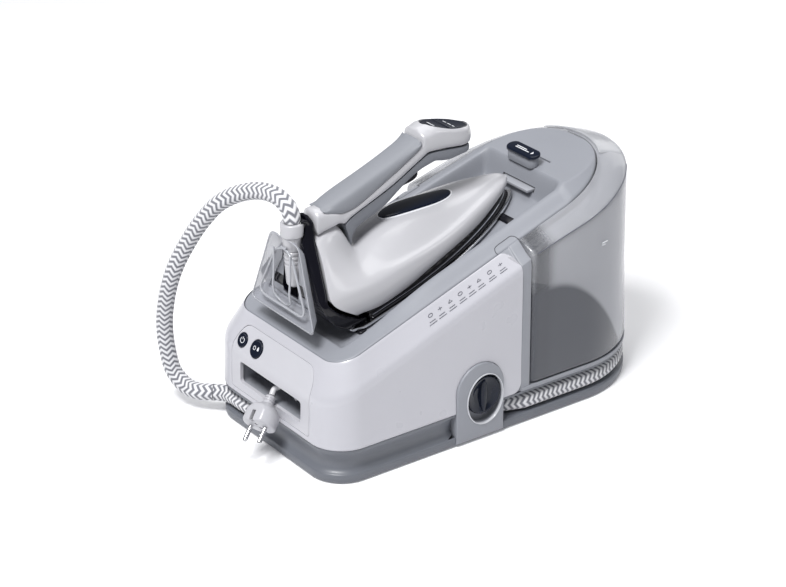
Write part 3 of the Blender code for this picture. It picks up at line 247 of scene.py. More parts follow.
# Deck grey painted a little lighter for the rear pillar: painted light, standing in for the light falling on
# its side.
PILLAR_PAINTED_LIGHT = plastic("mat_pillar_painted_light", (0.26, 0.27, 0.30), 0.42, 1500.0, 0.14, 0.0, 0.03)
BASE = plastic("mat_base", (0.125, 0.134, 0.155), 0.42, 1200.0, 0.12, 0.05, 0.03)
BRACKET = plastic("mat_bracket", (0.25, 0.26, 0.29), 0.42, 1400.0, 0.12, 0.0, 0.03)
BAY = plastic("mat_bay", (0.27, 0.28, 0.31), 0.5, 1200.0, 0.12, 0.0, 0.03)
NAVY = plastic("mat_navy", (0.004, 0.007, 0.017), 0.14, 500.0, 0.02, 0.0, 0.10, 0.28)
BLACK = plastic("mat_black", (0.003, 0.003, 0.006), 0.12, 400.0, 0.02, 0.0, 0.10, 0.30)
GRIP = plastic("mat_grip", (0.215, 0.225, 0.25), 0.58, 2600.0, 0.30, 0.0, 0.03)
UNDER = plastic("mat_under", (0.17, 0.18, 0.205), 0.5, 2000.0, 0.2, 0.0, 0.03)
PAD = plastic("mat_pad", (0.006, 0.006, 0.009), 0.30, 1800.0, 0.15, 0.0, 0.08, 0.35)
SILICONE = plastic("mat_silicone", (0.62, 0.62, 0.60), 0.6, 1200.0, 0.1)
CABLE = plastic("mat_cable", (0.58, 0.58, 0.60), 0.38, 1600.0, 0.12)
PLUG = plastic("mat_plug", (0.44, 0.44, 0.47), 0.34, 1300.0, 0.10, 0.1, 0.02)
BOARD = plastic("mat_board", (0.02, 0.14, 0.06), 0.5, 800.0, 0.1)
MARK = plastic("mat_mark", (0.10, 0.105, 0.13), 0.5, 900.0, 0.03)
MARK_LIGHT = plastic("mat_mark_light", (0.72, 0.73, 0.76), 0.5, 900.0, 0.03)
SEAM = plastic("mat_seam", (0.05, 0.052, 0.06), 0.6, 900.0, 0.03)
SOLE = metal("mat_sole", (0.70, 0.71, 0.74), 0.16, (1.0, 6.0, 1.0))
STEEL = metal("mat_steel", (0.62, 0.63, 0.65), 0.3, (1.0, 1.0, 8.0))
PIN = metal("mat_pin", (0.70, 0.70, 0.71), 0.22, (3.0, 3.0, 1.0), 120.0)
BRASS = metal("mat_brass", (0.70, 0.52, 0.24), 0.32)
# Tank: painted shade darkens its lower part and a band along its front.
TANK = smoky("mat_tank", (0.42, 0.43, 0.465), 0.13, 0.46, (0.075, 0.08, 0.095), 0.143, 0.153, 0.80,
             (0.031, 0.066))
TONGUE = plastic("mat_tongue", (0.34, 0.35, 0.38), 0.42, 1400.0, 0.12)
LID = smoky("mat_lid", (0.55, 0.56, 0.59), 0.10, 0.30)
# Lighter glossy grey for the drain's rim: a painted highlight on its bevel.
RIM_PAINTED_HIGHLIGHT = plastic("mat_rim_painted_highlight", (0.50, 0.51, 0.54), 0.12, 900.0, 0.02, 0.3)
STAND = smoky("mat_stand", (0.36, 0.37, 0.41), 0.10, 0.42)
PANE = smoky("mat_pane", (0.30, 0.31, 0.345), 0.14, 0.62)
RIM = plastic("mat_rim", (0.36, 0.37, 0.40), 0.14, 900.0, 0.02, 0.3)
HOSE = braided("mat_hose")
RIBS = corrugated("mat_ribs")


# ---------------------------------------------------------------- mesh helpers
def make(name, bm, mat, body, *nodes, sharp=38.0, bevel=0.0, segments=2):
    """Object from bm (mm), riding on a body and standing for the named CAD nodes."""
    obj = solid(name, bm)
    obj.data.materials.append(mat)
    finish_mesh(obj, sharp, bevel, segments)
    if body:
        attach(obj, body)
    for node in nodes:
        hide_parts(node)
    return obj


def relax(bm, rounds):
    """Evens out small ripples left by the loft."""
    for _ in range(rounds):
        bmesh.ops.smooth_vert(bm, verts=bm.verts, factor=0.5, use_axis_x=True, use_axis_y=True,
                              use_axis_z=True)
    return bm


def finish_mesh(obj, sharp, bevel, segments=2):
    for poly in obj.data.polygons:
        poly.use_smooth = True
    if bevel > 0.0:
        mod = obj.modifiers.new("edge", "BEVEL")
        mod.width = bevel * MM
        mod.segments = segments
        mod.limit_method = "ANGLE"
        mod.angle_limit = math.radians(max(sharp, 30.0))
        mod.miter_outer = "MITER_ARC"
        mod.use_clamp_overlap = True
        apply_modifiers(obj)
    obj.data.set_sharp_from_angle(angle=math.radians(sharp))


def apply_modifiers(obj):
    depsgraph = bpy.context.evaluated_depsgraph_get()
    mesh = bpy.data.meshes.new_from_object(obj.evaluated_get(depsgraph))
    old = obj.data
    obj.modifiers.clear()
    obj.data = mesh
    bpy.data.meshes.remove(old)


def solid(name, bm):
    """Plain object from bm (mm), scaled to metres."""
    bmesh.ops.recalc_face_normals(bm, faces=bm.faces)
    for vert in bm.verts:
        vert.co = vert.co * MM
    mesh = bpy.data.meshes.new(name)
    bm.to_mesh(mesh)
    bm.free()
    obj = bpy.data.objects.new(name, mesh)
    bpy.context.scene.collection.objects.link(obj)
    return obj


def carve(bm, *cutters):
    """bm with the cutters taken away (or joined, for a ('UNION', bm) pair); returns a bmesh in mm."""
    obj = solid("tmp", bm)
    helpers = []
    for cutter in cutters:
        operation, tool = cutter if isinstance(cutter, tuple) else ("DIFFERENCE", cutter)
        helper = solid("tmp_cut", tool)
        helpers.append(helper)
        mod = obj.modifiers.new("cut", "BOOLEAN")
        mod.operation = operation
        mod.solver = "EXACT"
        mod.object = helper
    bpy.context.view_layer.update()
    apply_modifiers(obj)
    out = bmesh.new()
    out.from_mesh(obj.data)
    for vert in out.verts:
        vert.co = vert.co / MM
    for thing in helpers + [obj]:
        mesh = thing.data
        bpy.data.objects.remove(thing)
        bpy.data.meshes.remove(mesh)
    return out


def loft(rings, caps="fan"):
    """Closed solid through rings of equal length; caps are 'fan' or 'ladder' (mirror rings)."""
    bm = bmesh.new()
    rows = [[bm.verts.new(p) for p in ring] for ring in rings]
    count = len(rows[0])
    for low, high in zip(rows, rows[1:]):
        for i in range(count):
            j = (i + 1) % count
            bm.faces.new((low[i], low[j], high[j], high[i]))
    for row in (rows[0], rows[-1]):
        if caps == "ladder":
            ladder_cap(bm, row)
        else:
            bm.faces.new(row)
    return bm


def ladder_cap(bm, row):
    """Cap a ring that starts on the mirror plane, joining each point to its mirror point."""
    half = len(row) // 2
    first = 1
    while first < half and abs(row[first].co.y - row[0].co.y) < 1e-6:
        first += 1
    last = half
    while last > 0 and abs(row[last - 1].co.y - row[half].co.y) < 1e-6:
        last -= 1
    stops = [0] + list(range(first, last)) + [half]
    for start, end in zip(stops, stops[1:]):
        right = [row[i] for i in range(start, end + 1)]
        left = [row[-i] for i in range(end, start - 1, -1)]
        corners = []
        for vert in right + left:
            if vert not in corners:
                corners.append(vert)
        bm.faces.new(corners)


def curve_point(a, b, c, d, t):
    """Smooth curve between b and c, its tangents weighted by the distances to a and d."""
    h0, h1, h2 = max((b - a).length, 1e-6), max((c - b).length, 1e-6), max((d - c).length, 1e-6)
    m1 = ((b - a) * (h1 / h0) + (c - b) * (h0 / h1)) * (h1 / (h0 + h1))
    m2 = ((c - b) * (h2 / h1) + (d - c) * (h1 / h2)) * (h1 / (h1 + h2))
    return ((2 * t ** 3 - 3 * t ** 2 + 1) * b + (t ** 3 - 2 * t ** 2 + t) * m1
            + (3 * t ** 2 - 2 * t ** 3) * c + (t ** 3 - t ** 2) * m2)


def refine_ring(ring, steps, sharp=()):
    """Closed ring with steps points per span; corners listed in sharp stay sharp."""
    pts = [Vector(p) for p in ring]
    count = len(pts)
    out = []
    for i in range(count):
        j = (i + 1) % count
        b, c = pts[i], pts[j]
        a = 2 * b - c if i in sharp else pts[i - 1]
        d = 2 * c - b if j in sharp else pts[(j + 1) % count]
        for k in range(steps):
            out.append(curve_point(a, b, c, d, k / steps))
    return out


def refine_rows(rings, steps, sharp=()):
    """More rings between the given ones, point by point; rings listed in sharp keep a corner."""
    rings = [[Vector(p) for p in ring] for ring in rings]
    out = []
    last = len(rings) - 1
    for i in range(last):
        b, c = rings[i], rings[i + 1]
        a = rings[i - 1] if i > 0 and i not in sharp else None
        d = rings[i + 2] if i + 2 <= last and i + 1 not in sharp else None
        for k in range(steps):
            t = k / steps
            row = []
            for q in range(len(b)):
                pa = a[q] if a else 2 * b[q] - c[q]
                pd = d[q] if d else 2 * c[q] - b[q]
                row.append(curve_point(pa, b[q], c[q], pd, t))
            out.append(row)
    out.append(rings[last])
    return out


def box(x0, x1, y0, y1, z0, z1):
    low = [(x0, y0, z0), (x1, y0, z0), (x1, y1, z0), (x0, y1, z0)]
    return loft([low, [(x, y, z1) for x, y, _ in low]])


def rounded_rectangle(x0, x1, y0, y1, r, count, inset=0.0):
    """Rectangle with round corners of count points each; inset draws the corners in."""
    ring = []
    for cx, cy, start in ((x1 - r, y0 + r, -90), (x1 - r, y1 - r, 0), (x0 + r, y1 - r, 90),
                          (x0 + r, y0 + r, 180)):
        for i in range(count):
            t = math.radians(start + 90.0 / (count - 1) * i)
            ring.append((cx + (r - inset) * math.cos(t), cy + (r - inset) * math.sin(t)))
    return ring


def closed_band(rows):
    """Ring-shaped piece through rows of points, its last row joined to its first."""
    bm = bmesh.new()
    verts = [[bm.verts.new(p) for p in row] for row in rows]
    for a, b in zip(verts, verts[1:] + verts[:1]):
        for i in range(len(a)):
            j = (i + 1) % len(a)
            bm.faces.new((a[i], a[j], b[j], b[i]))
    return bm


def circle(centre, normal, radius, sides, stretch=1.0):
    axis = Vector(normal).normalized()
    ref = Vector((1, 0, 0)) if abs(axis.x) < 0.9 else Vector((0, 0, 1))
    first = axis.cross(ref).normalized()
    second = axis.cross(first)
    mid = Vector(centre)
    ring = []
    for i in range(sides):
        t = 2.0 * math.pi * i / sides
        ring.append(mid + radius * (math.cos(t) * first + stretch * math.sin(t) * second))
    return ring


def turned(start, normal, profile, sides=48):
    """Solid of revolution: profile is a list of (distance along normal, radius)."""
    axis = Vector(normal).normalized()
    return loft([circle(Vector(start) + axis * d, axis, r, sides) for d, r in profile])


def rounded(profile, r, steps=4):
    """Profile of (distance, radius) pairs with its inner corners rounded by r."""
    out = [profile[0]]
    for a, b, c in zip(profile, profile[1:], profile[2:]):
        va, vb, vc = (Vector((*p, 0.0)) for p in (a, b, c))
        la, lc = (va - vb).length, (vc - vb).length
        reach = min(r, 0.45 * la, 0.45 * lc)
        p0, p1 = vb + (va - vb).normalized() * reach, vb + (vc - vb).normalized() * reach
        for k in range(steps + 1):
            t = k / steps
            q = (1 - t) ** 2 * p0 + 2 * t * (1 - t) * vb + t * t * p1
            out.append((q.x, q.y))
    out.append(profile[-1])
    return out


def smooth_path(points, steps):
    pts = [Vector(p) for p in points]
    pts = [2 * pts[0] - pts[1]] + pts + [2 * pts[-1] - pts[-2]]
    path = []
    for k in range(1, len(pts) - 2):
        a, b, c, d = pts[k - 1:k + 3]
        path += [curve_point(a, b, c, d, i / steps) for i in range(steps)]
    path.append(pts[-2])
    return path


def even_path(path, step):
    """The same path with points at even distances."""
    out, carry = [path[0]], 0.0
    for a, b in zip(path, path[1:]):
        span = (b - a).length
        while carry + span >= step:
            t = (step - carry) / span
            a = a + (b - a) * t
            out.append(a)
            span, carry = (b - a).length, 0.0
        carry += span
    if (out[-1] - path[-1]).length > 0.3 * step:
        out.append(path[-1])
    else:
        out[-1] = path[-1]
    return out


def tube(path, radius, sides, uv_pitch=0.0):
    """Round tube along a path; radius may be a function of distance. UVs run along and around."""
    bm = bmesh.new()
    layer = bm.loops.layers.uv.new("UVMap") if uv_pitch else None
    tangent = (path[1] - path[0]).normalized()
    side = tangent.cross(Vector((0.12, 0.05, 1.0))).normalized()
    rows, dist, run = [], [], 0.0
    for i, point in enumerate(path):
        ahead = path[min(i + 1, len(path) - 1)]
        behind = path[max(i - 1, 0)]
        tangent = (ahead - behind).normalized()
        side = (side - tangent * side.dot(tangent)).normalized()
        up = tangent.cross(side)
        if i:
            run += (point - path[i - 1]).length
        r = radius(run) if callable(radius) else radius
        dist.append(run)
        rows.append([bm.verts.new(point + r * (math.cos(2 * math.pi * k / sides) * side
                                               + math.sin(2 * math.pi * k / sides) * up))
                     for k in range(sides)])
    for i in range(len(rows) - 1):
        for k in range(sides):
            j = (k + 1) % sides
            face = bm.faces.new((rows[i][k], rows[i][j], rows[i + 1][j], rows[i + 1][k]))
            if layer:
                u0, u1 = dist[i] / uv_pitch, dist[i + 1] / uv_pitch
                v0, v1 = k / sides, (k + 1) / sides
                for loop, uv in zip(face.loops, ((u0, v0), (u0, v1), (u1, v1), (u1, v0))):
                    loop[layer].uv = uv
    bm.faces.new(rows[0])
    bm.faces.new(rows[-1])
    return bm


def interp(table, x):
    if x <= table[0][0]:
        return table[0][1]
    for (x0, v0), (x1, v1) in zip(table, table[1:]):
        if x <= x1:
            return v0 + (v1 - v0) * (x - x0) / (x1 - x0)
    return table[-1][1]


def smooth_table(table, x):
    """Like interp, with rounded corners: cubic through the table's points."""
    if x <= table[0][0]:
        return table[0][1]
    if x >= table[-1][0]:
        return table[-1][1]
    k = 0
    while x > table[k + 1][0]:
        k += 1
    (x0, v0), (x1, v1) = table[k], table[k + 1]
    h = x1 - x0
    mid = (v1 - v0) / h
    before = (v0 - table[k - 1][1]) / (x0 - table[k - 1][0]) if k > 0 else mid
    after = (table[k + 2][1] - v1) / (table[k + 2][0] - x1) if k + 2 < len(table) else mid
    m0 = 0.0 if before * mid <= 0.0 else 2.0 * before * mid / (before + mid)
    m1 = 0.0 if after * mid <= 0.0 else 2.0 * after * mid / (after + mid)
    t = (x - x0) / h
    return ((2 * t ** 3 - 3 * t ** 2 + 1) * v0 + (t ** 3 - 2 * t ** 2 + t) * h * m0
            + (3 * t ** 2 - 2 * t ** 3) * v1 + (t ** 3 - t ** 2) * h * m1)


def smoothstep(a, b, x):
    t = min(1.0, max(0.0, (x - a) / (b - a)))
    return t * t * (3.0 - 2.0 * t)


def span(a, b, count):
    return [a + (b - a) * i / (count - 1) for i in range(count)]


# ---------------------------------------------------------------- station shape
FRONT_Y, REAR_Y, CASE_BOTTOM = -222.5, 109.5, 37.5
CASE_END, TANK_FRONT, TANK_BOTTOM = 18.0, 31.0, 42.0
HOSE_R, HOSE_Z = 9.0, 21.0
BASE_HALF, BASE_CORNER = 112.5, 38.0
SOLE_Y, SOLE_Z, CRADLE_SLOPE = -136.5, 138.0, 0.308


def half_outline(half_w, front_y, corner_r, rear_half_w, rear_y, rear_b, power):
    """Right half of a station outline in plan, front centre to rear centre."""
    pts = [(x, front_y) for x in span(0.0, half_w - corner_r, 6)[:-1]]
    for i in range(19):
        t = math.radians(-90.0 + 5.0 * i)
        pts.append((half_w - corner_r + corner_r * math.cos(t),
                    front_y + corner_r + corner_r * math.sin(t)))
    start_y = front_y + corner_r
    for i in range(1, 30):
        s = i / 30.0
        pts.append((half_w + (rear_half_w - half_w) * s, start_y + (rear_y - start_y) * s))
    for i in range(0, 37):
        t = 0.5 * math.pi * i / 36.0
        x = rear_half_w * math.cos(t) ** (2.0 / power) if i < 36 else 0.0
        pts.append((x, rear_y + rear_b * math.sin(t) ** (2.0 / power)))
    return pts


def mirrored(half):
    return half + [(-x, y) for x, y in reversed(half[1:-1])]


def base_outline(inset):
    half = BASE_HALF - inset
    return mirrored(half_outline(half, FRONT_Y + inset, BASE_CORNER - inset, half, REAR_Y, half, 2.0))


def deck_edge_x(y):
    if y >= 86.0:
        s = min(1.0, (y - 86.0) / 94.1)
        return 85.7 * (1.0 - s ** 2.14) ** (1.0 / 2.14)
    side = 94.0 - 8.3 * (y + 175.0) / 261.0
    if y > -175.0:
        return side
    drop = -175.0 - y
    return side - 26.0 + math.sqrt(max(0.0, 26.0 ** 2 - drop ** 2))


def seam_z(y):
    return 223.0 + 0.326 * (y - 100.0) + 0.0004 * max(0.0, y - 100.0) ** 2


def crease_z(y):
    return 88.5 + 0.38 * (y - FRONT_Y)


def shoulder_z(y):
    return 209.5 + 0.2692 * (y - 100.0) - 0.0002 * (y - 100.0) ** 2


def cradle_z(y):
    floor = SOLE_Z + CRADLE_SLOPE * (y - SOLE_Y) - 2.6
    front = seam_z(y) + 1.0
    return floor + (front - floor) * smoothstep(-166.0, -190.0, y)


def plateau_z(y):
    return 236.0 + 0.2 * (y - 104.0)


def deck_z(x, y):
    edge = max(0.0, deck_edge_x(y) - abs(x))
    edge = min(edge, (y + 201.0) * 1.2, (180.1 - y) * 1.6)
    rise = 8.0 * smoothstep(-170.0, -60.0, y) * smoothstep(0.0, 20.0, edge)
    ridge = seam_z(y) + rise
    floor = cradle_z(y)
    open_z = ridge + (floor - ridge) * smoothstep(22.0, 32.0, edge)
    rear = min(seam_z(y) + 0.62 * edge, plateau_z(y))
    return open_z + (rear - open_z) * smoothstep(95.5, 108.0, y)


def ring_at(outline, height):
    return [(x, y, height(y) if callable(height) else height) for x, y in outline]


# ---------------------------------------------------------------- base
COVERED = [(0.0, 2.5), (0.9, 0.9), (2.8, 0.1), (8.8, 0.0), (10.0, 0.5), (10.6, 1.7), (12.0, 4.4),
           (17.0, 6.6), (24.0, 6.0), (30.0, 3.4), (33.2, 1.6), (34.6, 1.2), (35.4, 0.9), (37.2, 0.9)]
OPEN = [(0.0, 2.5), (0.9, 0.9), (2.8, 0.1), (8.8, 0.0), (10.0, 0.5), (10.6, 1.7), (11.0, 16.0),
        (13.5, 19.6), (24.0, 20.0), (31.5, 19.6), (33.6, 16.0), (34.0, 2.0), (34.7, 0.9), (37.2, 0.9)]


def openness(x, y):
    """0 where the hose runs under cover, 1 where the channel is open."""
    if y < -190.0:
        return smoothstep(-14.0, -34.0, x)
    return 1.0 if x < 0.0 else smoothstep(-72.0, -56.0, y)


TUNNEL_RADIUS = 10.2


def tunnel(points):
    return tube(smooth_path(points, 4), TUNNEL_RADIUS, 24)


COVERED_PATH = [(102.5, 28.0), (97.0, 11.0), (89.0, -8.0), (83.0, -36.0), (79.0, -80.0),
                (76.0, -130.0), (65.0, -163.0), (40.0, -184.0), (8.0, -192.0), (-20.0, -199.0),
                (-44.0, -209.0), (-64.0, -212.4)]
ROOT_PATH = [(-102.5, -70.0), (-99.0, -92.0), (-88.0, -112.0), (-70.0, -126.0)]
EXIT_PATH = [(-80.0, -212.4), (-94.0, -216.0), (-101.4, -222.8), (-103.5, -225.0)]
LOOP_PATH = [(-103.9, -225.4, 21.0), (-106.0, -227.6, 21.0), (-113.0, -234.0, 20.4),
             (-130.0, -242.0, 22.0), (-144.0, -248.0, 34.0), (-151.0, -252.0, 62.0),
             (-151.0, -254.0, 92.0), (-145.0, -254.0, 122.0), (-134.0, -250.0, 159.0),
             (-120.0, -240.0, 194.0), (-104.0, -230.0, 223.0), (-87.0, -220.0, 245.0),
             (-62.0, -205.0, 261.5), (-38.0, -196.5, 268.0), (-15.0, -192.5, 266.5),
             (-2.0, -191.0, 257.5), (0.0, -190.9, 251.0), (0.0, -190.9, 247.8)]


def at_hose_height(path):
    return [(x, y, HOSE_Z) for x, y in path]


def build_base():
    outer, deep = base_outline(0.0), base_outline(20.0)
    rings = []
    for (z0, in0), (z1, in1) in zip(COVERED, OPEN):
        ring = []
        for (ox, oy), (dx, dy) in zip(outer, deep):
            s = openness(ox, oy)
            inset = (in0 + (in1 - in0) * s) / 20.0
            ring.append((ox + (dx - ox) * inset, oy + (dy - oy) * inset, z0 + (z1 - z0) * s))
        rings.append(ring)
    bm = loft(rings, "ladder")
    spots = [((x, y), 11.3, 3.3) for x, y in FEET] + [((x, y), 5.0, 6.0) for x, y in SCREWS]
    pockets = [turned((x, y, -4.0), (0, 0, 1), [(0.0, r), (4.0 + deep_mm, r)], 32)
               for (x, y), r, deep_mm in spots]
    bm = carve(bm, tunnel(at_hose_height(COVERED_PATH)), drain_prism(0.3),
               tunnel(at_hose_height(ROOT_PATH[:-1] + [(-66.4, -128.0)])), *pockets)
    make("base_shell", bm, BASE, "station", "base_plate", sharp=42.0)


FEET = [(-78.0, -178.0), (78.0, -178.0), (-72.0, 150.0), (72.0, 150.0)]
SCREWS = [(-60.0, -120.0), (60.0, -120.0), (-60.0, 90.0), (60.0, 90.0)]


def build_feet_and_screws():
    """Ribbed rubber feet and cross-slotted screws in the flat underside."""
    for i, (x, y) in enumerate(FEET):
        profile = [(0.0, 6.0), (0.5, 6.3), (0.5, 7.3), (0.0, 7.6), (0.0, 10.0), (0.8, 11.0), (3.0, 11.0)]
        make(f"rubber_foot_{i + 1}", turned((x, y, 0.0), (0, 0, 1), profile, 40), PAD, "station",
             f"foot_{i + 1}", sharp=30.0)
    for i, (x, y) in enumerate(SCREWS):
        bm = turned((x, y, 2.7), (0, 0, 1), [(0.0, 3.2), (0.25, 3.9), (0.9, 4.2), (3.0, 4.2)], 32)
        slots = [box(x - 2.6, x + 2.6, y - 0.45, y + 0.45, 1.0, 4.0),
                 box(x - 0.45, x + 0.45, y - 2.6, y + 2.6, 1.0, 4.0)]
        make(f"cross_screw_{i + 1}", carve(bm, *slots), STEEL, "station", f"base_screw_{i + 1}",
             sharp=30.0)


# ---------------------------------------------------------------- casing and panel
def casing_path(half_w, front_y, corner_r, end_y, end_half_w):
    """Plan path round the front of the casing, left rear to right rear."""
    pts = [(x, front_y) for x in span(0.0, half_w - corner_r, 12)[:-1]]
    for i in range(25):
        t = math.radians(-90.0 + 3.75 * i)
        pts.append((half_w - corner_r + corner_r * math.cos(t),
                    front_y + corner_r + corner_r * math.sin(t)))
    start_y = front_y + corner_r
    for i in range(1, 41):
        s = i / 40.0
        pts.append((half_w + (end_half_w - half_w) * s, start_y + (end_y - start_y) * s))
    return [(-x, y) for x, y in reversed(pts[1:])] + pts


def bevel_level(f, end_y):
    """Level of the bevel above the crease: f = 0 at the crease, 1 at the deck seam."""
    rear_half = 110.2 + (deck_edge_x(0.0) + 0.6 - 110.2) * f
    path = casing_path(110.3 - 15.6 * f, -221.1 + 19.4 * f, 37.0 - 10.3 * f, end_y, rear_half)
    return path, lambda y: crease_z(y) + (seam_z(y) - crease_z(y)) * f


def casing_body():
    end = CASE_END
    levels = [
        (casing_path(111.6, -221.6, 37.2, end - 9.5, 111.6), lambda y: CASE_BOTTOM),
        (casing_path(112.4, -222.4, 38.0, end - 7.5, 112.4), lambda y: CASE_BOTTOM + 1.0),
        (casing_path(112.4, -222.4, 38.0, end - 3.0, 112.4), lambda y: CASE_BOTTOM + 4.5),
        (casing_path(112.3, -222.4, 38.0, end - 0.8, 112.3), lambda y: CASE_BOTTOM + 8.0),
        (casing_path(112.2, -222.3, 38.0, end, 112.2), lambda y: CASE_BOTTOM + 11.5),
        (casing_path(112.1, -222.3, 38.0, end, 112.1), lambda y: CASE_BOTTOM + 14.0),
        (casing_path(111.5, -221.9, 37.4, end, 111.4), lambda y: 0.5 * (crease_z(y) + 45.0)),
        (casing_path(111.0, -221.6, 37.1, end, 110.9), lambda y: crease_z(y) - 9.0),
        (casing_path(110.9, -221.5, 37.0, end, 110.8), lambda y: crease_z(y) - 5.5),
        bevel_level(0.06, end - 0.3),
        bevel_level(0.30, end - 1.2),
        bevel_level(0.60, end - 3.4),
        bevel_level(0.82, end - 6.8),
        bevel_level(0.96, end - 11.4),
    ]
    seam_path, _ = bevel_level(1.0, end - 13.0)
    levels.append((seam_path, lambda y: seam_z(y) - 0.4))
    levels.append((seam_path, lambda y: seam_z(y) - 4.0))
    levels.append((casing_path(106.6, -217.6, 34.0, end - 3.0, 106.4), lambda y: crease_z(y) - 3.0))
    levels.append((casing_path(108.6, -218.9, 35.0, end - 9.0, 108.6), lambda y: CASE_BOTTOM))
    rings = []
    for i in range(len(levels[0][0])):
        ring = [(path[i][0], path[i][1], height(path[i][1])) for path, height in levels]
        rings.append(refine_ring(ring, 3, sharp=(0, 14, 15, 16, 17)))
    return loft(rings)


def panel_prism(grow):
    """Prism along y with the panel's rounded outline."""
    corners = [(0.0, 44.0), (67.0, 44.0), (69.6, 45.0), (70.7, 47.5), (70.9, 60.0), (70.7, 88.0),
               (70.2, 94.0), (68.4, 100.0), (66.0, 105.0), (63.0, 109.5), (59.5, 112.6),
               (55.0, 114.2), (50.0, 114.6), (0.0, 114.6)]
    outline = [(x + (grow if x > 0.0 else 0.0), z + (grow if z > 79.0 else -grow)) for x, z in corners]
    full = outline + [(-x, z) for x, z in reversed(outline[1:-1])]
    return loft([[(x, y, z) for x, z in full] for y in (-245.0, -190.0)])


def rounded_prism_y(x0, x1, z0, z1, y0, y1, r=3.5):
    ring = rounded_rectangle(x0, x1, z0, z1, r, 9)
    return loft([[(x, y0, z) for x, z in ring], [(x, y1, z) for x, z in ring]])


BEVEL_NORMAL = Vector((0.0, -0.8784, 0.4779))
BUTTONS = [("power_button", (-58.0, -215.4, 98.7), 8.0), ("mode_button", (-32.0, -215.4, 98.7), 10.0)]


def build_casing_and_panel():
    body = casing_body()
    casing = carve(body.copy(), panel_prism(0.45), drain_prism(0.45))
    make("casing_shell", casing, WHITE, "station", "side_casing", sharp=30.0)
    holes = [turned(Vector(c), BEVEL_NORMAL, [(-14.0, r + 0.5), (14.0, r + 0.5)], 64)
             for _, c, r in BUTTONS]
    panel = carve(body, ("INTERSECT", panel_prism(0.0)),
                  rounded_prism_y(-55.0, 56.0, 53.6, 77.4, -245, -190), *holes)
    make("panel_shell", panel, PANEL_WHITE, "station", "front_panel", sharp=30.0)
    bay = carve(box(-60.0, 60.0, -217.2, -158.0, 48.0, 81.5),
                rounded_prism_y(-57.5, 57.5, 50.5, 79.0, -240.0, -160.5, 5.0))
    make("bay_tray", bay, BAY, "station", "cord_bay", sharp=35.0)


def build_buttons():
    """Dished caps with a thin lip; a ring mark on one, a drop mark on the other."""
    for name, centre, r in BUTTONS:
        profile = rounded([(-6.0, r), (0.9, r), (1.4, r - 0.7), (1.05, r - 2.2), (0.8, 0.6)], 0.5)
        cap = make(name + "_cap", turned(centre, BEVEL_NORMAL, profile, 64), NAVY, name, name, sharp=60.0)
        lift = Vector(centre) + BEVEL_NORMAL * 0.9
        up = Vector((0.0, 0.4779, 0.8784))
        right = Vector((1.0, 0.0, 0.0))
        if name == "power_button":
            path = [lift + 3.1 * (math.sin(math.radians(a)) * right + math.cos(math.radians(a)) * up)
                    for a in range(40, 321, 10)]
            mark = [tube(path, 0.38, 8), tube([lift + up * 1.0, lift + up * 3.6], 0.38, 8)]
        else:
            drop = []
            for a in range(0, 360, 15):
                t = math.radians(a)
                tall = 1.0 + 1.1 * max(0.0, math.cos(t)) ** 3
                drop.append(lift + right * 2.8 + 1.5 * (math.sin(t) * right + math.cos(t) * tall * up))
            ring = [lift - right * 3.4 + 1.9 * (math.cos(math.radians(a)) * right
                                                + math.sin(math.radians(a)) * up) for a in range(0, 361, 15)]
            mark = [loft([[p - BEVEL_NORMAL * 0.3 for p in drop], [p + BEVEL_NORMAL * 0.25 for p in drop]]),
                    tube(ring, 0.35, 8)]
        for i, bm in enumerate(mark):
            piece = make(f"{name}_mark_{i + 1}", bm, MARK_LIGHT, None, sharp=40.0)
            piece.parent = cap


# ---------------------------------------------------------------- rear frame
def outer_profile(y, inset):
    """Outer side of the station wall at y as (x, z), bottom to deck seam."""
    edge = deck_edge_x(y) + 0.6
    pts = [(112.3, CASE_BOTTOM + 0.6), (112.2, CASE_BOTTOM + 10.0), (111.4, 0.5 * (crease_z(y) + 45.0)),
           (110.8, crease_z(y) - 5.0), (109.4, crease_z(y) + 1.8)]
    for f in (0.3, 0.6, 0.85, 1.0):
        pts.append((110.2 + (edge - 110.2) * f, crease_z(y) + (seam_z(y) - crease_z(y)) * f))
    return [(x - inset, z - 0.3 * inset) for x, z in pts]


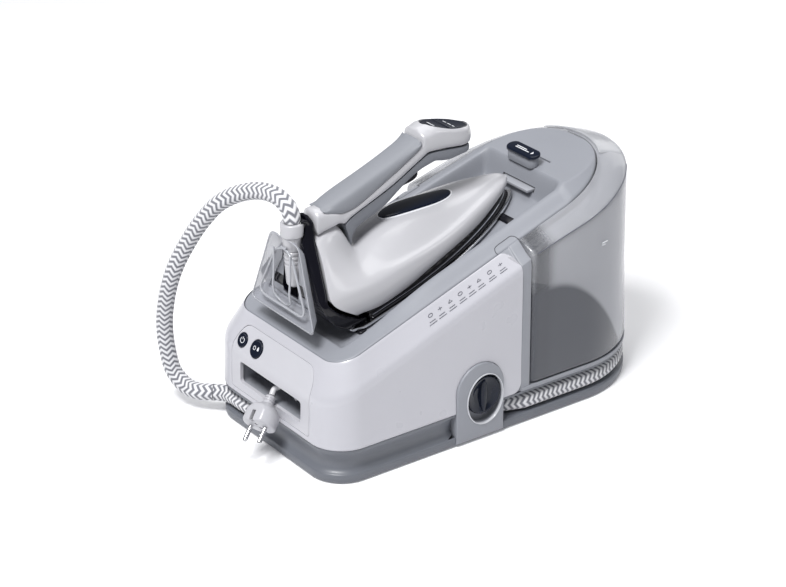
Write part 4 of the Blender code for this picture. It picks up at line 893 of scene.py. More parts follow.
def build_rear_frame():
    # The pillar pieces use the deck grey painted a little lighter, as painted light.
    for side, label in ((1.0, "right"), (-1.0, "left")):
        rings = []
        for y in [-8.0, -4.0, 0.0, 4.0, 8.0, 12.0, 15.0, 17.4, 18.2, 20.0, 23.0, 26.0, 28.0, 29.4, 30.3]:
            inset = 2.3 if y < 18.0 else 0.6 + 0.10 * max(0.0, y - 26.0)
            out = outer_profile(y, inset)
            back = [(x - 2.6, z - 0.8) for x, z in reversed(out)]
            rings.append([(side * x, y, z) for x, z in out + back])
        make("frame_skin_" + label, loft(rings), PILLAR_PAINTED_LIGHT, "station", sharp=35.0, bevel=0.5)
    front, back = CASE_END + 1.0, TANK_FRONT - 1.0
    rings = []
    for y in (front, back):
        edge = deck_edge_x(y) - 0.4
        half = [(108.2, CASE_BOTTOM + 0.5), (106.4, crease_z(y)), (edge - 1.0, seam_z(y) - 2.6),
                (edge - 1.0, seam_z(y) - 3.6), (70.0, seam_z(y) - 3.6), (62.0, cradle_z(y) - 4.0)]
        rings.append([(x, y, z) for x, z in half + [(-x, z) for x, z in reversed(half)]])
    rear = half_outline(BASE_HALF, FRONT_Y, BASE_CORNER, BASE_HALF, REAR_Y, BASE_HALF, 2.0)
    plan = [(0.0, front), (112.3, front)] + [p for p in rear if p[1] > front + 2.0]
    small = [(x * 0.996, y if y < 40.0 else REAR_Y + (y - REAR_Y) * 0.996) for x, y in plan]
    floor = loft([ring_at(mirrored(small), CASE_BOTTOM + 0.05), ring_at(mirrored(plan), CASE_BOTTOM + 0.6),
                  ring_at(mirrored(plan), 40.9), ring_at(mirrored(small), 41.5)], "ladder")
    socket = turned((0.0, 10.0, 62.0), (0, 1, 0), [(0.0, 9.0), (30.0, 9.0)], 40)
    make("frame_wall", carve(loft(rings), ("UNION", floor), socket), PILLAR_PAINTED_LIGHT, "station", "rear_frame",
         sharp=35.0)


# ---------------------------------------------------------------- deck
def build_deck():
    ys = [-201.0, -200.8, -200.3, -199.3, -198.0] + span(-196.0, -166.0, 22) + span(-163.0, 92.0, 74)
    ys += span(93.0, 109.0, 26) + span(110.5, 176.0, 46) + [177.2, 178.2, 178.9, 179.4, 179.7]
    rows = []
    for y in ys:
        half_w = max(deck_edge_x(y) - 0.7, 3.0)
        insets = [0.0, 0.25, 0.8, 1.8] + span(3.0, 21.0, 13) + span(22.0, 33.0, 14)
        scale = min(1.0, half_w * 0.92 / insets[-1])
        right = [half_w - d * scale for d in insets]
        right += [right[-1] * k for k in (0.85, 0.7, 0.5, 0.3, 0.12)] + [0.0]
        xs = right + [-x for x in reversed(right[:-1])]
        row = []
        for x in xs:
            edge = min(half_w - abs(x), (y + 201.0), (179.9 - y))
            drop = 1.5 * (1.0 - min(1.0, max(edge, 0.0) / 1.5)) ** 2
            z = deck_z(x, y)
            row.append(((x, y, z - drop), (x, y, z - 3.0)))
        rows.append(row)
    bm = grid_solid(rows)
    slots = [box(-27.0, 27.0, 95.0, 103.5, 213.2, 219.4),
             box(-18.0, 21.5, 124.3, 126.7, 225.0, 252.0)]
    make("deck_shell", carve(bm, *slots), DECK, "station", "top_deck", sharp=40.0)


def build_deck_seams():
    """Dark joint lines where the rear pillar wraps over the edge of the deck."""
    for side, label in ((1.0, "right"), (-1.0, "left")):
        path = []
        for inset, y in ((0.4, 2.5), (5.0, 3.0), (8.0, 5.0), (8.8, 9.0), (8.8, 15.0), (8.8, 21.0),
                         (8.6, 26.0),
                         (6.0, 29.5), (0.6, 30.6)):
            x = deck_edge_x(y) - inset
            path.append((side * x, y, deck_z(x, y) + 0.05))
        make("seam_line_" + label, tube(smooth_path(path, 5), 0.38, 8), SEAM, "station", sharp=60.0)


def grid_solid(rows):
    """Closed solid from a grid of (top point, bottom point) pairs."""
    bm = bmesh.new()
    top = [[bm.verts.new(t) for t, _ in row] for row in rows]
    low = [[bm.verts.new(b) for _, b in row] for row in rows]
    n_rows, n_cols = len(rows), len(rows[0])
    for r in range(n_rows - 1):
        for c in range(n_cols - 1):
            bm.faces.new((top[r][c], top[r][c + 1], top[r + 1][c + 1], top[r + 1][c]))
            bm.faces.new((low[r][c], low[r + 1][c], low[r + 1][c + 1], low[r][c + 1]))
    for r in range(n_rows - 1):
        for c in (0, n_cols - 1):
            bm.faces.new((top[r][c], top[r + 1][c], low[r + 1][c], low[r][c]))
    for c in range(n_cols - 1):
        for r in (0, n_rows - 1):
            bm.faces.new((top[r][c], top[r][c + 1], low[r][c + 1], low[r][c]))
    return bm


LOCK_MID_X, LOCK_MID_Y = -4.0, 109.0
PILL_STEPS = 16


def pill(half_len, half_w, low, high):
    """Low and high ring of a long oval round the lock's middle, heights above the deck."""
    ring = []
    for side in (1, -1):
        for i in range(PILL_STEPS + 1):
            t = math.radians(-90.0 + 180.0 * i / PILL_STEPS)
            ring.append((side * (half_len - half_w + half_w * math.cos(t)) + LOCK_MID_X,
                         LOCK_MID_Y + side * half_w * math.sin(t)))
    return [(x, y, plateau_z(y) + low) for x, y in ring], [(x, y, plateau_z(y) + high) for x, y in ring]


def build_lock():
    low, high = pill(22.0, 6.5, 0.3, 10.5)
    make("lock_pedestal", loft([low, high]), DECK, "lock", "lock_button", sharp=40.0, bevel=0.5)
    rings = [pill(23.2, 7.2, 10.7, 10.8)[0], pill(24.0, 8.0, 11.4, 11.4)[0], pill(24.0, 8.0, 13.2, 13.2)[0],
             pill(23.6, 7.6, 13.9, 13.9)[0], pill(22.4, 6.4, 14.2, 14.2)[0]]
    cap = make("lock_top", loft(rings), NAVY, "lock", "lock_cap", sharp=40.0)
    arrow = []
    for dx, dy in ((12.0, -2.6), (12.0, 2.6), (14.6, 0.0)):
        arrow.append((dx - 4.0 + 2.0, 109.0 + dy))
    for i, pts in enumerate((arrow, [(-16.0, 107.6), (6.0, 107.6), (6.0, 108.6), (-16.0, 108.6)],
                             [(-16.0, 110.0), (0.0, 110.0), (0.0, 111.0), (-16.0, 111.0)])):
        rings = [[(x, y, plateau_z(y) + h) for x, y in pts] for h in (13.9, 14.35)]
        make(f"lock_mark_{i + 1}", loft(rings), MARK_LIGHT, None).parent = cap
    tongue = box(-25.0, 25.0, 91.6, 112.0, 214.5, 217.5)
    make("tongue_bar", tongue, TONGUE, "lock_tongue", "lock_tongue", sharp=30.0, bevel=0.6)


# ---------------------------------------------------------------- water tank
def under_deck(y):
    return cradle_z(y) - 5.5


def tank_ring(shape, front, height, dip=None):
    half_w, b, power, back, widen, r = shape
    wide = half_w + widen
    mid = min(84.0, wide - 3.5)
    pts = [(x, front) for x in span(0.0, mid, 8)]
    for i in range(7):
        t = math.radians(-90.0 + 15.0 * i)
        pts.append((wide - r + r * math.cos(t), front + r + r * math.sin(t)))
    for s in span(0.0, 1.0, 18)[1:]:
        pts.append((wide - widen * s, front + r + (back - front - r) * s))
    for i in range(1, 41):
        t = 0.5 * math.pi * i / 40.0
        x = half_w * math.cos(t) ** (2.0 / power) if i < 40 else 0.0
        pts.append((x, back + b * math.sin(t) ** (2.0 / power)))
    ring = []
    for x, y in mirrored(pts):
        dipped = dip is not None and abs(x) < mid + 0.1 and y < front + 0.1
        ring.append((x, y, under_deck(y) - dip if dipped else height(y)))
    return ring


def build_tank():
    front = TANK_FRONT
    rings = [
        tank_ring((108.8, 109.3, 2.0, 109.5, 0.0, 6.0), front + 0.7, lambda y: TANK_BOTTOM),
        tank_ring((111.0, 111.5, 2.0, 109.5, 0.0, 7.0), front + 0.1, lambda y: TANK_BOTTOM + 1.6),
        tank_ring((111.8, 112.3, 2.0, 109.5, 0.0, 7.0), front, lambda y: TANK_BOTTOM + 5.0),
        tank_ring((111.9, 114.4, 1.97, 107.0, 0.0, 7.0), front, lambda y: 80.0),
        tank_ring((111.2, 119.0, 1.92, 103.0, 0.0, 7.0), front, lambda y: 130.0),
        tank_ring((110.8, 123.0, 1.87, 99.5, 0.0, 7.0), front, lambda y: shoulder_z(y) - 12.0, 14.0),
        tank_ring((110.6, 124.4, 1.85, 98.0, 0.0, 7.0), front, lambda y: shoulder_z(y) - 1.0, 3.0),
        tank_ring((109.9, 123.6, 1.85, 98.0, 0.0, 6.4), front + 0.1, lambda y: shoulder_z(y) + 0.3, 2.4),
        tank_ring((108.4, 121.6, 1.87, 97.0, 0.3, 5.6), front + 0.2,
                  lambda y: shoulder_z(y) + 0.10 * (seam_z(y) - shoulder_z(y)) + 0.4, 2.0),
        tank_ring((98.0, 108.5, 2.0, 92.0, 0.8, 3.0), front + 0.3,
                  lambda y: shoulder_z(y) + 0.55 * (seam_z(y) - shoulder_z(y)) + 0.6, 1.5),
        tank_ring((86.5, 95.0, 2.14, 86.0, 1.8, 0.6), front + 0.4, lambda y: seam_z(y) - 0.3, 1.0),
        tank_ring((86.3, 94.8, 2.14, 86.0, 1.8, 0.6), front + 2.0, lambda y: seam_z(y) - 3.5, 0.5),
        tank_ring((84.0, 92.5, 2.14, 86.0, 1.0, 0.6), front + 4.0, under_deck, 0.0),
    ]
    inner_front = front + 3.0
    inside = [
        tank_ring((106.5, 107.0, 2.0, 109.5, 0.0, 6.0), inner_front, lambda y: TANK_BOTTOM + 3.0),
        tank_ring((109.0, 109.5, 2.0, 109.5, 0.0, 6.0), inner_front, lambda y: TANK_BOTTOM + 7.0),
        tank_ring((108.2, 116.0, 1.92, 103.0, 0.0, 6.0), inner_front, lambda y: 130.0),
        tank_ring((107.0, 121.0, 1.85, 98.0, 0.0, 6.0), inner_front, lambda y: shoulder_z(y) - 4.0, 6.0),
        tank_ring((90.5, 99.0, 2.14, 86.0, 1.8, 1.0), inner_front, lambda y: seam_z(y) - 6.0, 5.0),
        tank_ring((89.5, 98.0, 2.14, 86.0, 1.8, 1.0), inner_front + 2.0, lambda y: under_deck(y) - 1.0, 4.2),
        tank_ring((80.0, 88.5, 2.14, 86.0, 1.0, 1.0), inner_front + 4.0, lambda y: under_deck(y) - 3.0, 3.0),
    ]
    bm = carve(loft(rings, "ladder"), loft(inside, "ladder"), box(-30.0, 30.0, 192.0, 206.0, 222.0, 270.0))
    tank = make("tank_shell", bm, TANK, "tank", "water_tank", sharp=32.0)
    for name, z, widths in (("tank_mark_low", 78.0, (7.0, 12.0)), ("tank_mark_high", 176.0, (5.0, 9.0))):
        for k, width in enumerate(widths):
            low = []
            for s in (0.0, 1.0):
                a = math.radians(6.0) + (10.0 + width * s) / 120.0
                low.append((112.35 * math.cos(a) ** (2.0 / 1.92), 103.0 + 119.4 * math.sin(a)))
            (x0, y0), (x1, y1) = low
            zz = z + 2.4 * k
            ring = [[(x0 - 1.0, y0, zz), (x1 - 1.0, y1, zz), (x1 - 1.0, y1, zz + 0.7),
                     (x0 - 1.0, y0, zz + 0.7)],
                    [(x0, y0, zz), (x1, y1, zz), (x1, y1, zz + 0.7), (x0, y0, zz + 0.7)]]
            make(f"{name}_{k + 1}", loft(ring), MARK_LIGHT, None).parent = tank
    # Painted shade: a dark tube laid along each shoulder crease of the clear tank.
    for side, label in ((1.0, "right"), (-1.0, "left")):
        line = [Vector((side * 111.0, y, shoulder_z(y) - 0.6)) for y in span(TANK_FRONT + 6.0, 97.0, 12)]
        for i in range(1, 12):
            t = math.radians(5.0 * i)
            x = 110.7 * math.cos(t) ** (2.0 / 1.85)
            y = 98.0 + 124.5 * math.sin(t) ** (2.0 / 1.85)
            line.append(Vector((side * x, y, shoulder_z(y) - 0.6)))
        make("tank_crease_shade_line_" + label, tube(line, 0.55, 8), MARK, None, sharp=60.0).parent = tank
    nozzle = turned((0.0, 25.0, 62.0), (0, 1, 0), rounded([(0.0, 5.5), (0.6, 6.6), (2.0, 7.0), (5.7, 7.0)],
                                                          0.4), 40)
    make("valve_nozzle", nozzle, SILICONE, "tank", "tank_valve")


def lid_point(x, s, lift):
    inner_y = 86.0 + 95.5 * (1.0 - (abs(x) / 87.0) ** 2.14) ** (1.0 / 2.14)
    outer_y = 98.0 + 122.5 * (1.0 - (abs(x) / 110.5) ** 1.85) ** (1.0 / 1.85)
    inner_z, outer_z = seam_z(inner_y), shoulder_z(outer_y)
    return (x, inner_y + (outer_y - inner_y) * s, inner_z + (outer_z - inner_z) * s + lift)


def build_lid():
    rows = []
    xs = [-46.0, -45.6, -44.8, -43.4] + span(-41.0, 41.0, 29) + [43.4, 44.8, 45.6, 46.0]
    ss = [0.06, 0.075, 0.1, 0.14] + span(0.2, 0.8, 8) + [0.86, 0.9, 0.925, 0.94]
    for x in xs:
        row = []
        for s in ss:
            rim = min((46.0 - abs(x)) / 3.0, (s - 0.06) * 12.0, (0.94 - s) * 12.0, 1.0)
            crown = 2.4 + 1.2 * (1.0 - (1.0 - max(0.0, rim)) ** 2)
            row.append((lid_point(x, s, crown), lid_point(x, s, 1.0)))
        rows.append(row)
    make("lid_shell", grid_solid(rows), LID, "tank_lid", "tank_lid", sharp=40.0)


# ---------------------------------------------------------------- drain, pads, insides
DRAIN = (30.6, -36.6, 57.6)


def drain_ring(x, inset, low=0.0):
    half, mid_y, top_z = DRAIN
    half -= inset
    ring = [(x, mid_y - half, 2.6 + low), (x, mid_y + half, 2.6 + low)]
    for i in range(49):
        t = math.pi * i / 48.0
        ring.append((x, mid_y + half * math.cos(t), top_z + half * math.sin(t)))
    return ring


def drain_prism(grow):
    return loft([drain_ring(101.5 - grow, -grow, -grow), drain_ring(130.0, -grow, -grow)])


def build_drain():
    """Bracket with a raised rim round an oval bowl, the rim painted lighter as a highlight, and a dark dial
    set high in the bowl.
    """
    rings = [drain_ring(x, inset, inset) for x, inset in
             ((101.5, 0.0), (113.0, 0.0), (113.7, 0.25), (114.2, 0.8), (114.4, 1.8))]
    bowl = [circle((x, -31.0, 46.0), (1, 0, 0), r, 72, 28.0 / 22.8)
            for x, r in ((103.8, 21.8), (104.6, 22.4), (106.0, 22.6), (113.6, 22.8), (130.0, 22.9))]
    bm = carve(loft(rings), loft(bowl))
    make("drain_bracket", bm, BRACKET, "station", "drain_surround", sharp=32.0)
    # The rim is painted lighter than the bracket: a painted highlight.
    profile = ((112.6, 22.5), (114.9, 22.6), (115.3, 22.9), (115.3, 23.5), (114.9, 23.9), (112.6, 24.0))
    rows = [circle((x, -31.0, 46.0), (1, 0, 0), r, 72, (28.0 + r - 22.8) / r) for x, r in profile]
    make("drain_rim", closed_band(rows), RIM_PAINTED_HIGHLIGHT, "station", sharp=40.0)
    centre = Vector((104.2, -31.0, 49.3))
    disc = turned(centre, (1, 0, 0),
                  rounded([(0.0, 20.5), (0.8, 21.5), (7.0, 21.5), (8.6, 20.4), (8.2, 18.5), (6.0, 12.0),
                           (5.0, 1.0)],
                          0.8), 72)
    bar = refine_rows([[(x, centre.y + y, centre.z + z) for y, z in
                        [(w * math.cos(t), h * math.sin(t)) for t in span(0.0, 2.0 * math.pi, 33)[:-1]]]
                       for x, w, h in ((107.0, 5.4, 20.0), (110.0, 4.6, 19.6), (112.4, 3.8, 18.8),
                                       (113.4, 2.4, 17.0))], 3)
    make("drain_dial", carve(disc, ("UNION", loft(bar))), NAVY, "drain_knob", "drain_knob", sharp=36.0)


def pad_shape(x0, x1, u0, u1, side):
    xa, xb = sorted((side * x0, side * x1))
    rings = []
    for w, inset in ((-2.3, 0.0), (-1.2, 0.0), (-0.6, 0.5), (-0.3, 1.6)):
        outline = rounded_rectangle(xa, xb, u0, u1, 3.0, 5, inset)
        rings.append([iron_pt(x, u, w) for x, u in outline])
    return loft(rings)


def keep_cad(name, mat, bevel=0.0):
    """A CAD piece whose shape is right: fine material and softened edges."""
    obj = NODES[name]
    obj.data.materials.clear()
    obj.data.materials.append(mat)
    weld = obj.modifiers.new("weld", "WELD")
    weld.merge_threshold = 0.00002
    if bevel > 0.0:
        mod = obj.modifiers.new("edge", "BEVEL")
        mod.width = bevel * MM
        mod.segments = 2
        mod.limit_method = "ANGLE"
        mod.angle_limit = math.radians(35.0)
    smooth = obj.modifiers.new("normals", "WEIGHTED_NORMAL")
    smooth.keep_sharp = True
    return obj


def build_inside():
    """Pieces inside the station and iron, seen only with the covers off."""
    for name, mat in (("boiler", STEEL), ("boiler_heater", BRASS), ("water_pump", BLACK),
                      ("steam_valve", BRASS), ("valve_plunger", STEEL), ("control_board", BOARD),
                      ("feed_tube", SILICONE), ("supply_tube", SILICONE), ("steam_tube", SILICONE),
                      ("steam_chamber", STEEL), ("thermostat", BLACK)):
        keep_cad(name, mat, 0.6 if name in ("water_pump", "steam_chamber") else 0.0)


# ---------------------------------------------------------------- cord, plug and hose
PLUG_FACE = Vector((17.0, -247.6, 41.0))
PLUG_AXIS = Vector((-0.35, 0.70, 0.62)).normalized()
PLUG_SIDE = Vector((0.93, 0.30, 0.18)).normalized()


def build_cord_and_plug():
    coil = [Vector((28.0 + 22.0 * math.cos(t), -180.0 + 13.0 * math.sin(t),
                    55.5 + 18.5 * t / (5.0 * math.pi)))
            for t in span(0.0, 5.0 * math.pi, 150)]
    make("cord_bundle", tube(coil, 3.1, 16), CABLE, "station", "cord_coil")
    profile = rounded([(0.0, 15.6), (0.6, 17.2), (2.2, 18.0), (9.0, 18.0), (14.0, 17.6), (18.0, 15.6),
                       (21.0, 12.4), (23.5, 8.6), (25.0, 6.6), (27.0, 6.3), (27.0, 5.4), (28.4, 5.4),
                       (28.4, 6.1),
                       (30.0, 6.0), (30.0, 5.2), (31.4, 5.2), (31.4, 5.8), (33.2, 5.6), (34.5, 4.4)], 0.7, 3)
    body = turned(PLUG_FACE, PLUG_AXIS, profile, 72)
    side = PLUG_SIDE
    cross = PLUG_AXIS.cross(side).normalized()
    for vert in body.verts:
        rel = vert.co - PLUG_FACE
        along = rel.dot(PLUG_AXIS)
        out = rel.dot(cross)
        if along < 24.0 and abs(out) > 14.6:
            vert.co -= cross * (out - math.copysign(14.6 + 0.25 * (abs(out) - 14.6), out))
    grooves = []
    for sign in (-1.0, 1.0):
        base = PLUG_FACE + cross * sign * 14.6 - PLUG_AXIS * 1.0
        ring = [base + side * a + cross * b for a, b in ((-2.4, -3.0), (2.4, -3.0), (2.4, 3.0), (-2.4, 3.0))]
        grooves.append(loft([ring, [p + PLUG_AXIS * 12.0 for p in ring]]))
    for a in (-4.0, 4.0):
        mouth = PLUG_FACE + cross * a * 1.1 - PLUG_AXIS * 2.0
        ring = [mouth + side * p + cross * q for p, q in ((-1.2, -2.2), (1.2, -2.2), (1.2, 2.2), (-1.2, 2.2))]
        grooves.append(loft([ring, [p + PLUG_AXIS * 5.0 for p in ring]]))
    plug = make("plug_shell", carve(body, *grooves), PLUG, "plug", "plug_body", sharp=34.0)
    for sign in (-1.0, 1.0):
        base = PLUG_FACE + cross * sign * 12.4 + PLUG_AXIS * 0.3
        ring = [base + side * a + cross * b * sign for a,
                b in ((-1.9, 0.0), (1.9, 0.0), (1.9, 1.3), (-1.9, 1.3))]
        clip = make(f"plug_clip_{'a' if sign < 0 else 'b'}",
                    loft([ring, [p + PLUG_AXIS * 10.0 for p in ring]]),
                    PIN, None, sharp=30.0, bevel=0.3)
        clip.parent = plug
    for label, sign in (("left", -1.0), ("right", 1.0)):
        start = PLUG_FACE + PLUG_SIDE * 9.5 * sign - PLUG_AXIS * 0.3
        pin = rounded([(0.0, 2.4), (17.0, 2.4), (18.4, 1.9), (19.0, 1.0)], 0.4)
        make(f"plug_contact_{label}", turned(start, -PLUG_AXIS, pin, 40), PIN, "plug", f"plug_pin_{label}")
    start = PLUG_FACE + PLUG_AXIS * 35.6
    path = smooth_path([start, start + PLUG_AXIS * 6.9, Vector((5.2, -212.4, 70.6)),
                        Vector((11.4, -207.6, 71.0)),
                        Vector((18.0, -204.2, 66.8)), Vector((22.5, -202.4, 59.6))], 12)
    tail = make("cord_lead", tube(path, 3.0, 24), CABLE, None, "cord_tail")
    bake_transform(tail)


def stowed_path():
    path = smooth_path(at_hose_height(list(reversed(ROOT_PATH))), 8)[:-1]
    path += [Vector((-102.5, y, HOSE_Z)) for y in span(-70.0, 100.0, 30)]
    for i in range(61):
        t = math.pi - math.pi * i / 60.0
        path.append(Vector((102.5 * math.cos(t), REAR_Y + 102.5 * math.sin(t), HOSE_Z)))
    path += [Vector((102.5, y, HOSE_Z)) for y in span(100.0, 34.0, 12)]
    return path + smooth_path(at_hose_height(COVERED_PATH + EXIT_PATH), 8)


def build_hose():
    stowed = even_path(stowed_path(), 4.0)
    make("hose_run", tube(stowed, HOSE_R, 40, 6.4), HOSE, "station", "hose_stowed")
    loop = even_path(smooth_path(LOOP_PATH, 16), 3.0)
    free = make("hose_free", tube(loop, HOSE_R, 40, 6.4), HOSE, None, "hose_loop")
    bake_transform(free)
    foot = iron_pt(0.0, -38.0, 53.0)
    axis = Vector((0.0, -190.9, 246.9)) - foot
    length = axis.length
    profile = [(0.0, 6.4), (1.4, 8.0), (3.0, 8.6), (0.30 * length, 9.4)]
    for k in range(4):
        d = 0.34 * length + 5.0 * k
        r = 9.6 + 0.12 * k
        profile += [(d, r), (d + 0.5, r - 0.8), (d + 2.0, r - 0.8), (d + 2.5, r)]
    profile += [(length - 15.0, 10.9), (length - 13.6, 12.2), (length - 1.2, 12.2), (length, 11.4),
                (length + 0.2, 9.6)]
    make("boot_sleeve", turned(foot, axis, rounded(profile, 0.6, 3), 56), IRON_WHITE, "iron", "hose_boot",
         sharp=50.0)


# ---------------------------------------------------------------- iron
TILT = math.atan(CRADLE_SLOPE)
TIP_U, HEEL_U = 237.6, -18.8


def iron_pt(x, u, w):
    """Point of the iron frame (u along the sole, w square to it) in the station frame."""
    c, s = math.cos(TILT), math.sin(TILT)
    return Vector((x, SOLE_Y + u * c - w * s, SOLE_Z + u * s + w * c))


def sole_half(u):
    d = min(1.0, (TIP_U - u) / 190.0)
    width = 57.5 * (1.0 - (1.0 - d) ** 1.9) ** 0.72 if d > 0.0 else 0.0
    if u < 0.0:
        width -= 6.0 * (u / HEEL_U) ** 2
    return width


def sole_ring(inset, tip_inset, heel_inset, w):
    heel, tip = HEEL_U + heel_inset, TIP_U - tip_inset
    half = [(0.0, heel)]
    wide = max(sole_half(heel) - inset, 1.0)
    for k in range(6):
        t = math.radians(90.0 * k / 5.0)
        half.append((wide - 4.0 + 4.0 * math.sin(t), heel + 3.0 * (1.0 - math.cos(t))))
    reach = tip - heel - 3.0
    for k in range(1, 49):
        s = k / 49.0
        u = heel + 3.0 + reach * (1.0 - (1.0 - s) ** 1.7)
        d = (u - heel) / (tip - heel)
        half.append((max(sole_half(heel + d * (TIP_U - 0.02 - heel)) - inset * (1.0 - d ** 6), 0.6), u))
    half.append((0.0, tip))
    full = half + [(-x, u) for x, u in reversed(half[1:-1])]
    return [iron_pt(x, u, w) for x, u in full]


def build_sole():
    rings = [sole_ring(2.2, 2.6, 1.6, 0.0), sole_ring(0.6, 0.8, 0.4, 0.5), sole_ring(0.0, 0.0, 0.0, 1.4),
             sole_ring(0.0, 0.0, 0.0, 3.0), sole_ring(0.5, 0.5, 0.3, 3.6)]
    holes = []
    for u, spread in ((60.0, 34.0), (84.0, 30.0), (108.0, 28.0), (132.0, 24.0), (156.0, 19.0), (180.0, 13.0)):
        for sign in (-1.0, 1.0):
            for k in (0.0, 8.0):
                spot = iron_pt(sign * (spread - k), u + k, -1.0)
                holes.append(turned(spot, iron_pt(0, 0, 1) - iron_pt(0, 0, 0), [(0.0, 1.6), (3.2, 1.6)], 12))
    make("sole_plate", carve(loft(rings, "ladder"), *holes), SOLE, "iron", "soleplate", sharp=36.0)
    rings = []
    for w, inset in ((3.9, 3.6), (4.6, 2.4), (6.4, 2.2), (7.0, 3.8), (8.0, 4.2), (8.8, 2.8), (10.6, 2.8),
                     (11.2, 4.4), (12.4, 5.0), (16.0, 5.0)):
        rings.append(sole_ring(inset, inset + 2.0 + 0.9 * (w - 3.9), 24.0, w))
    make("shield_edge", loft(rings, "ladder"), RIBS, "iron", "heat_shield", sharp=50.0)
    rings = [sole_ring(2.4, 8.4 + 0.9 * (w - 8.0), 26.0, w) for w in (8.0, 8.9)]
    trim = make("shield_trim", loft(rings, "ladder"), SOLE, None, sharp=40.0)
    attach(trim, "iron")


SHELL_REAR = [(8.0, -2.0), (13.0, -4.0), (31.0, -22.0), (50.0, -35.0), (71.0, -23.0), (90.0, -11.5),
              (112.0, 0.5)]
SHELL_LOW = [(-4.0, 13.5), (11.0, 7.0), (50.0, 6.5), (80.0, 11.0), (120.0, 14.0), (165.0, 14.0),
             (200.0, 17.0), (234.0, 19.0)]
SHELL_CREASE = [(0.0, 49.0), (20.0, 47.0), (58.0, 43.0), (120.0, 37.0), (180.0, 34.0), (215.0, 30.0),
                (234.0, 24.0)]
SHELL_TOP = [(29.0, 58.0), (50.0, 64.0), (75.0, 66.0), (164.0, 46.5), (200.0, 39.0), (222.0, 33.0),
             (231.0, 28.0), (235.2, 23.5)]


def shell_section(u):
    half = max(sole_half(min(u, 234.0)) + 0.6, 2.0) * (1.0 if u < 226.0 else 1.0
                                                       - 0.5 * ((u - 226.0) / 9.4) ** 2)
    low, crease, top = (smooth_table(t, u) for t in (SHELL_LOW, SHELL_CREASE, SHELL_TOP))
    inner = max(half - 8.0, half * 0.6)
    return [(half * 0.975, low), (half, low + 0.3 * (crease - low)),
            (half * 0.995, low + 0.66 * (crease - low)),
            (0.5 * (half + inner) + 0.8, crease - 1.2), (inner, crease),
            (0.80 * inner, crease + 0.36 * (top - crease)), (0.56 * inner, crease + 0.72 * (top - crease)),
            (0.30 * inner, top - 1.1), (0.12 * inner, top - 0.1)]


def full_section(half, u_of):
    right = [(x, u_of(w), w) for x, w in half]
    left = [(-x, u, w) for x, u, w in reversed(right)]
    return [iron_pt(x, u, w) for x, u, w in right + left]


def build_iron_shell():
    top = 95.6
    tall = [(56.0, 13.2), (57.5, 22.0), (57.6, 34.0), (57.0, 46.0), (54.5, 52.0), (45.0, 64.0), (32.0, 79.0),
            (19.5, 91.0), (11.0, top)]
    rings = [full_section(tall, lambda w: smooth_table(SHELL_REAR, w)),
             full_section(tall, lambda w: 0.72 * smooth_table(SHELL_REAR, w) + 0.6),
             full_section([(57.0, 11.5), (58.0, 21.0), (58.0, 33.0), (56.6, 45.0), (52.5, 51.0), (42.0, 62.0),
                           (29.0, 77.0), (18.5, 89.0), (12.0, top)],
                          lambda w: 0.36 * smooth_table(SHELL_REAR, w) + 4.0),
             full_section([(57.5, 9.0), (58.2, 18.0), (58.1, 31.0), (55.8, 43.0), (51.0, 48.0), (38.0, 57.5),
                           (25.0, 70.0), (17.0, 84.0), (13.0, top)], lambda w: 12.0),
             full_section([(57.7, 7.6), (58.2, 17.0), (58.1, 30.0), (55.4, 42.0), (50.5, 46.6), (35.0, 54.0),
                           (22.0, 62.0), (16.5, 77.0), (13.5, top)], lambda w: 21.0),
             full_section([(57.8, 6.9), (58.2, 17.0), (58.1, 30.0), (55.2, 42.0), (50.2, 46.2), (34.0, 53.6),
                           (21.0, 58.6), (15.5, 66.0), (13.2, 84.0)], lambda w: 27.0),
             full_section([(57.8, 6.8), (58.2, 17.0), (58.1, 30.0), (55.0, 41.8), (50.0, 46.0), (34.0, 53.4),
                           (21.5, 57.0), (13.0, 59.2), (5.0, 60.6)], lambda w: 32.0)]
    for u in (50.0, 64.0, 80.0, 98.0, 118.0, 138.0, 158.0, 176.0, 192.0, 205.0, 215.0, 223.0, 229.0, 233.0,
              235.2):
        rings.append(full_section(shell_section(u), lambda w, u=u: u))
    rings = [refine_ring(ring, 3, sharp=(0, 17)) for ring in rings]
    bm = relax(loft(refine_rows(rings, 3, sharp=(0,))), 6)
    make("shell_body", carve(bm, shell_cavity(), boot_slot(13.0)), IRON_WHITE, "iron", "iron_shell",
         sharp=40.0)


def shell_cavity():
    rings = []
    for u in (4.0, 30.0, 60.0, 90.0, 120.0, 145.0, 168.0, 188.0, 204.0, 217.0, 228.0):
        half = max(sole_half(u) - 3.4, 3.0)
        crease = interp(SHELL_CREASE, u) - 6.0
        top = min(interp(SHELL_TOP, max(u, 40.0)) - 7.0, 52.0)
        section = [(half, -6.0), (half, 0.5 * crease), (max(half - 9.0, 0.55 * half), crease),
                   (0.4 * half, crease + 0.6 * (top - crease)), (0.15 * half, top)]
        rings.append(full_section(section, lambda w, u=u: u))
    return loft(rings)


def boot_slot(radius):
    low, high = iron_pt(0.0, -39.0, 44.0), iron_pt(0.0, -14.0, 138.0)
    back = iron_pt(0.0, -60.0, 0.0) - iron_pt(0.0, 0.0, 0.0)
    rings = []
    for mid in (low, high):
        ring = [mid + Vector((radius * math.cos(t), radius * math.sin(t), 0.0))
                for t in span(0.0, math.pi, 33)]
        rings.append(ring + [ring[-1] + back, ring[0] + back])
    return loft(rings)


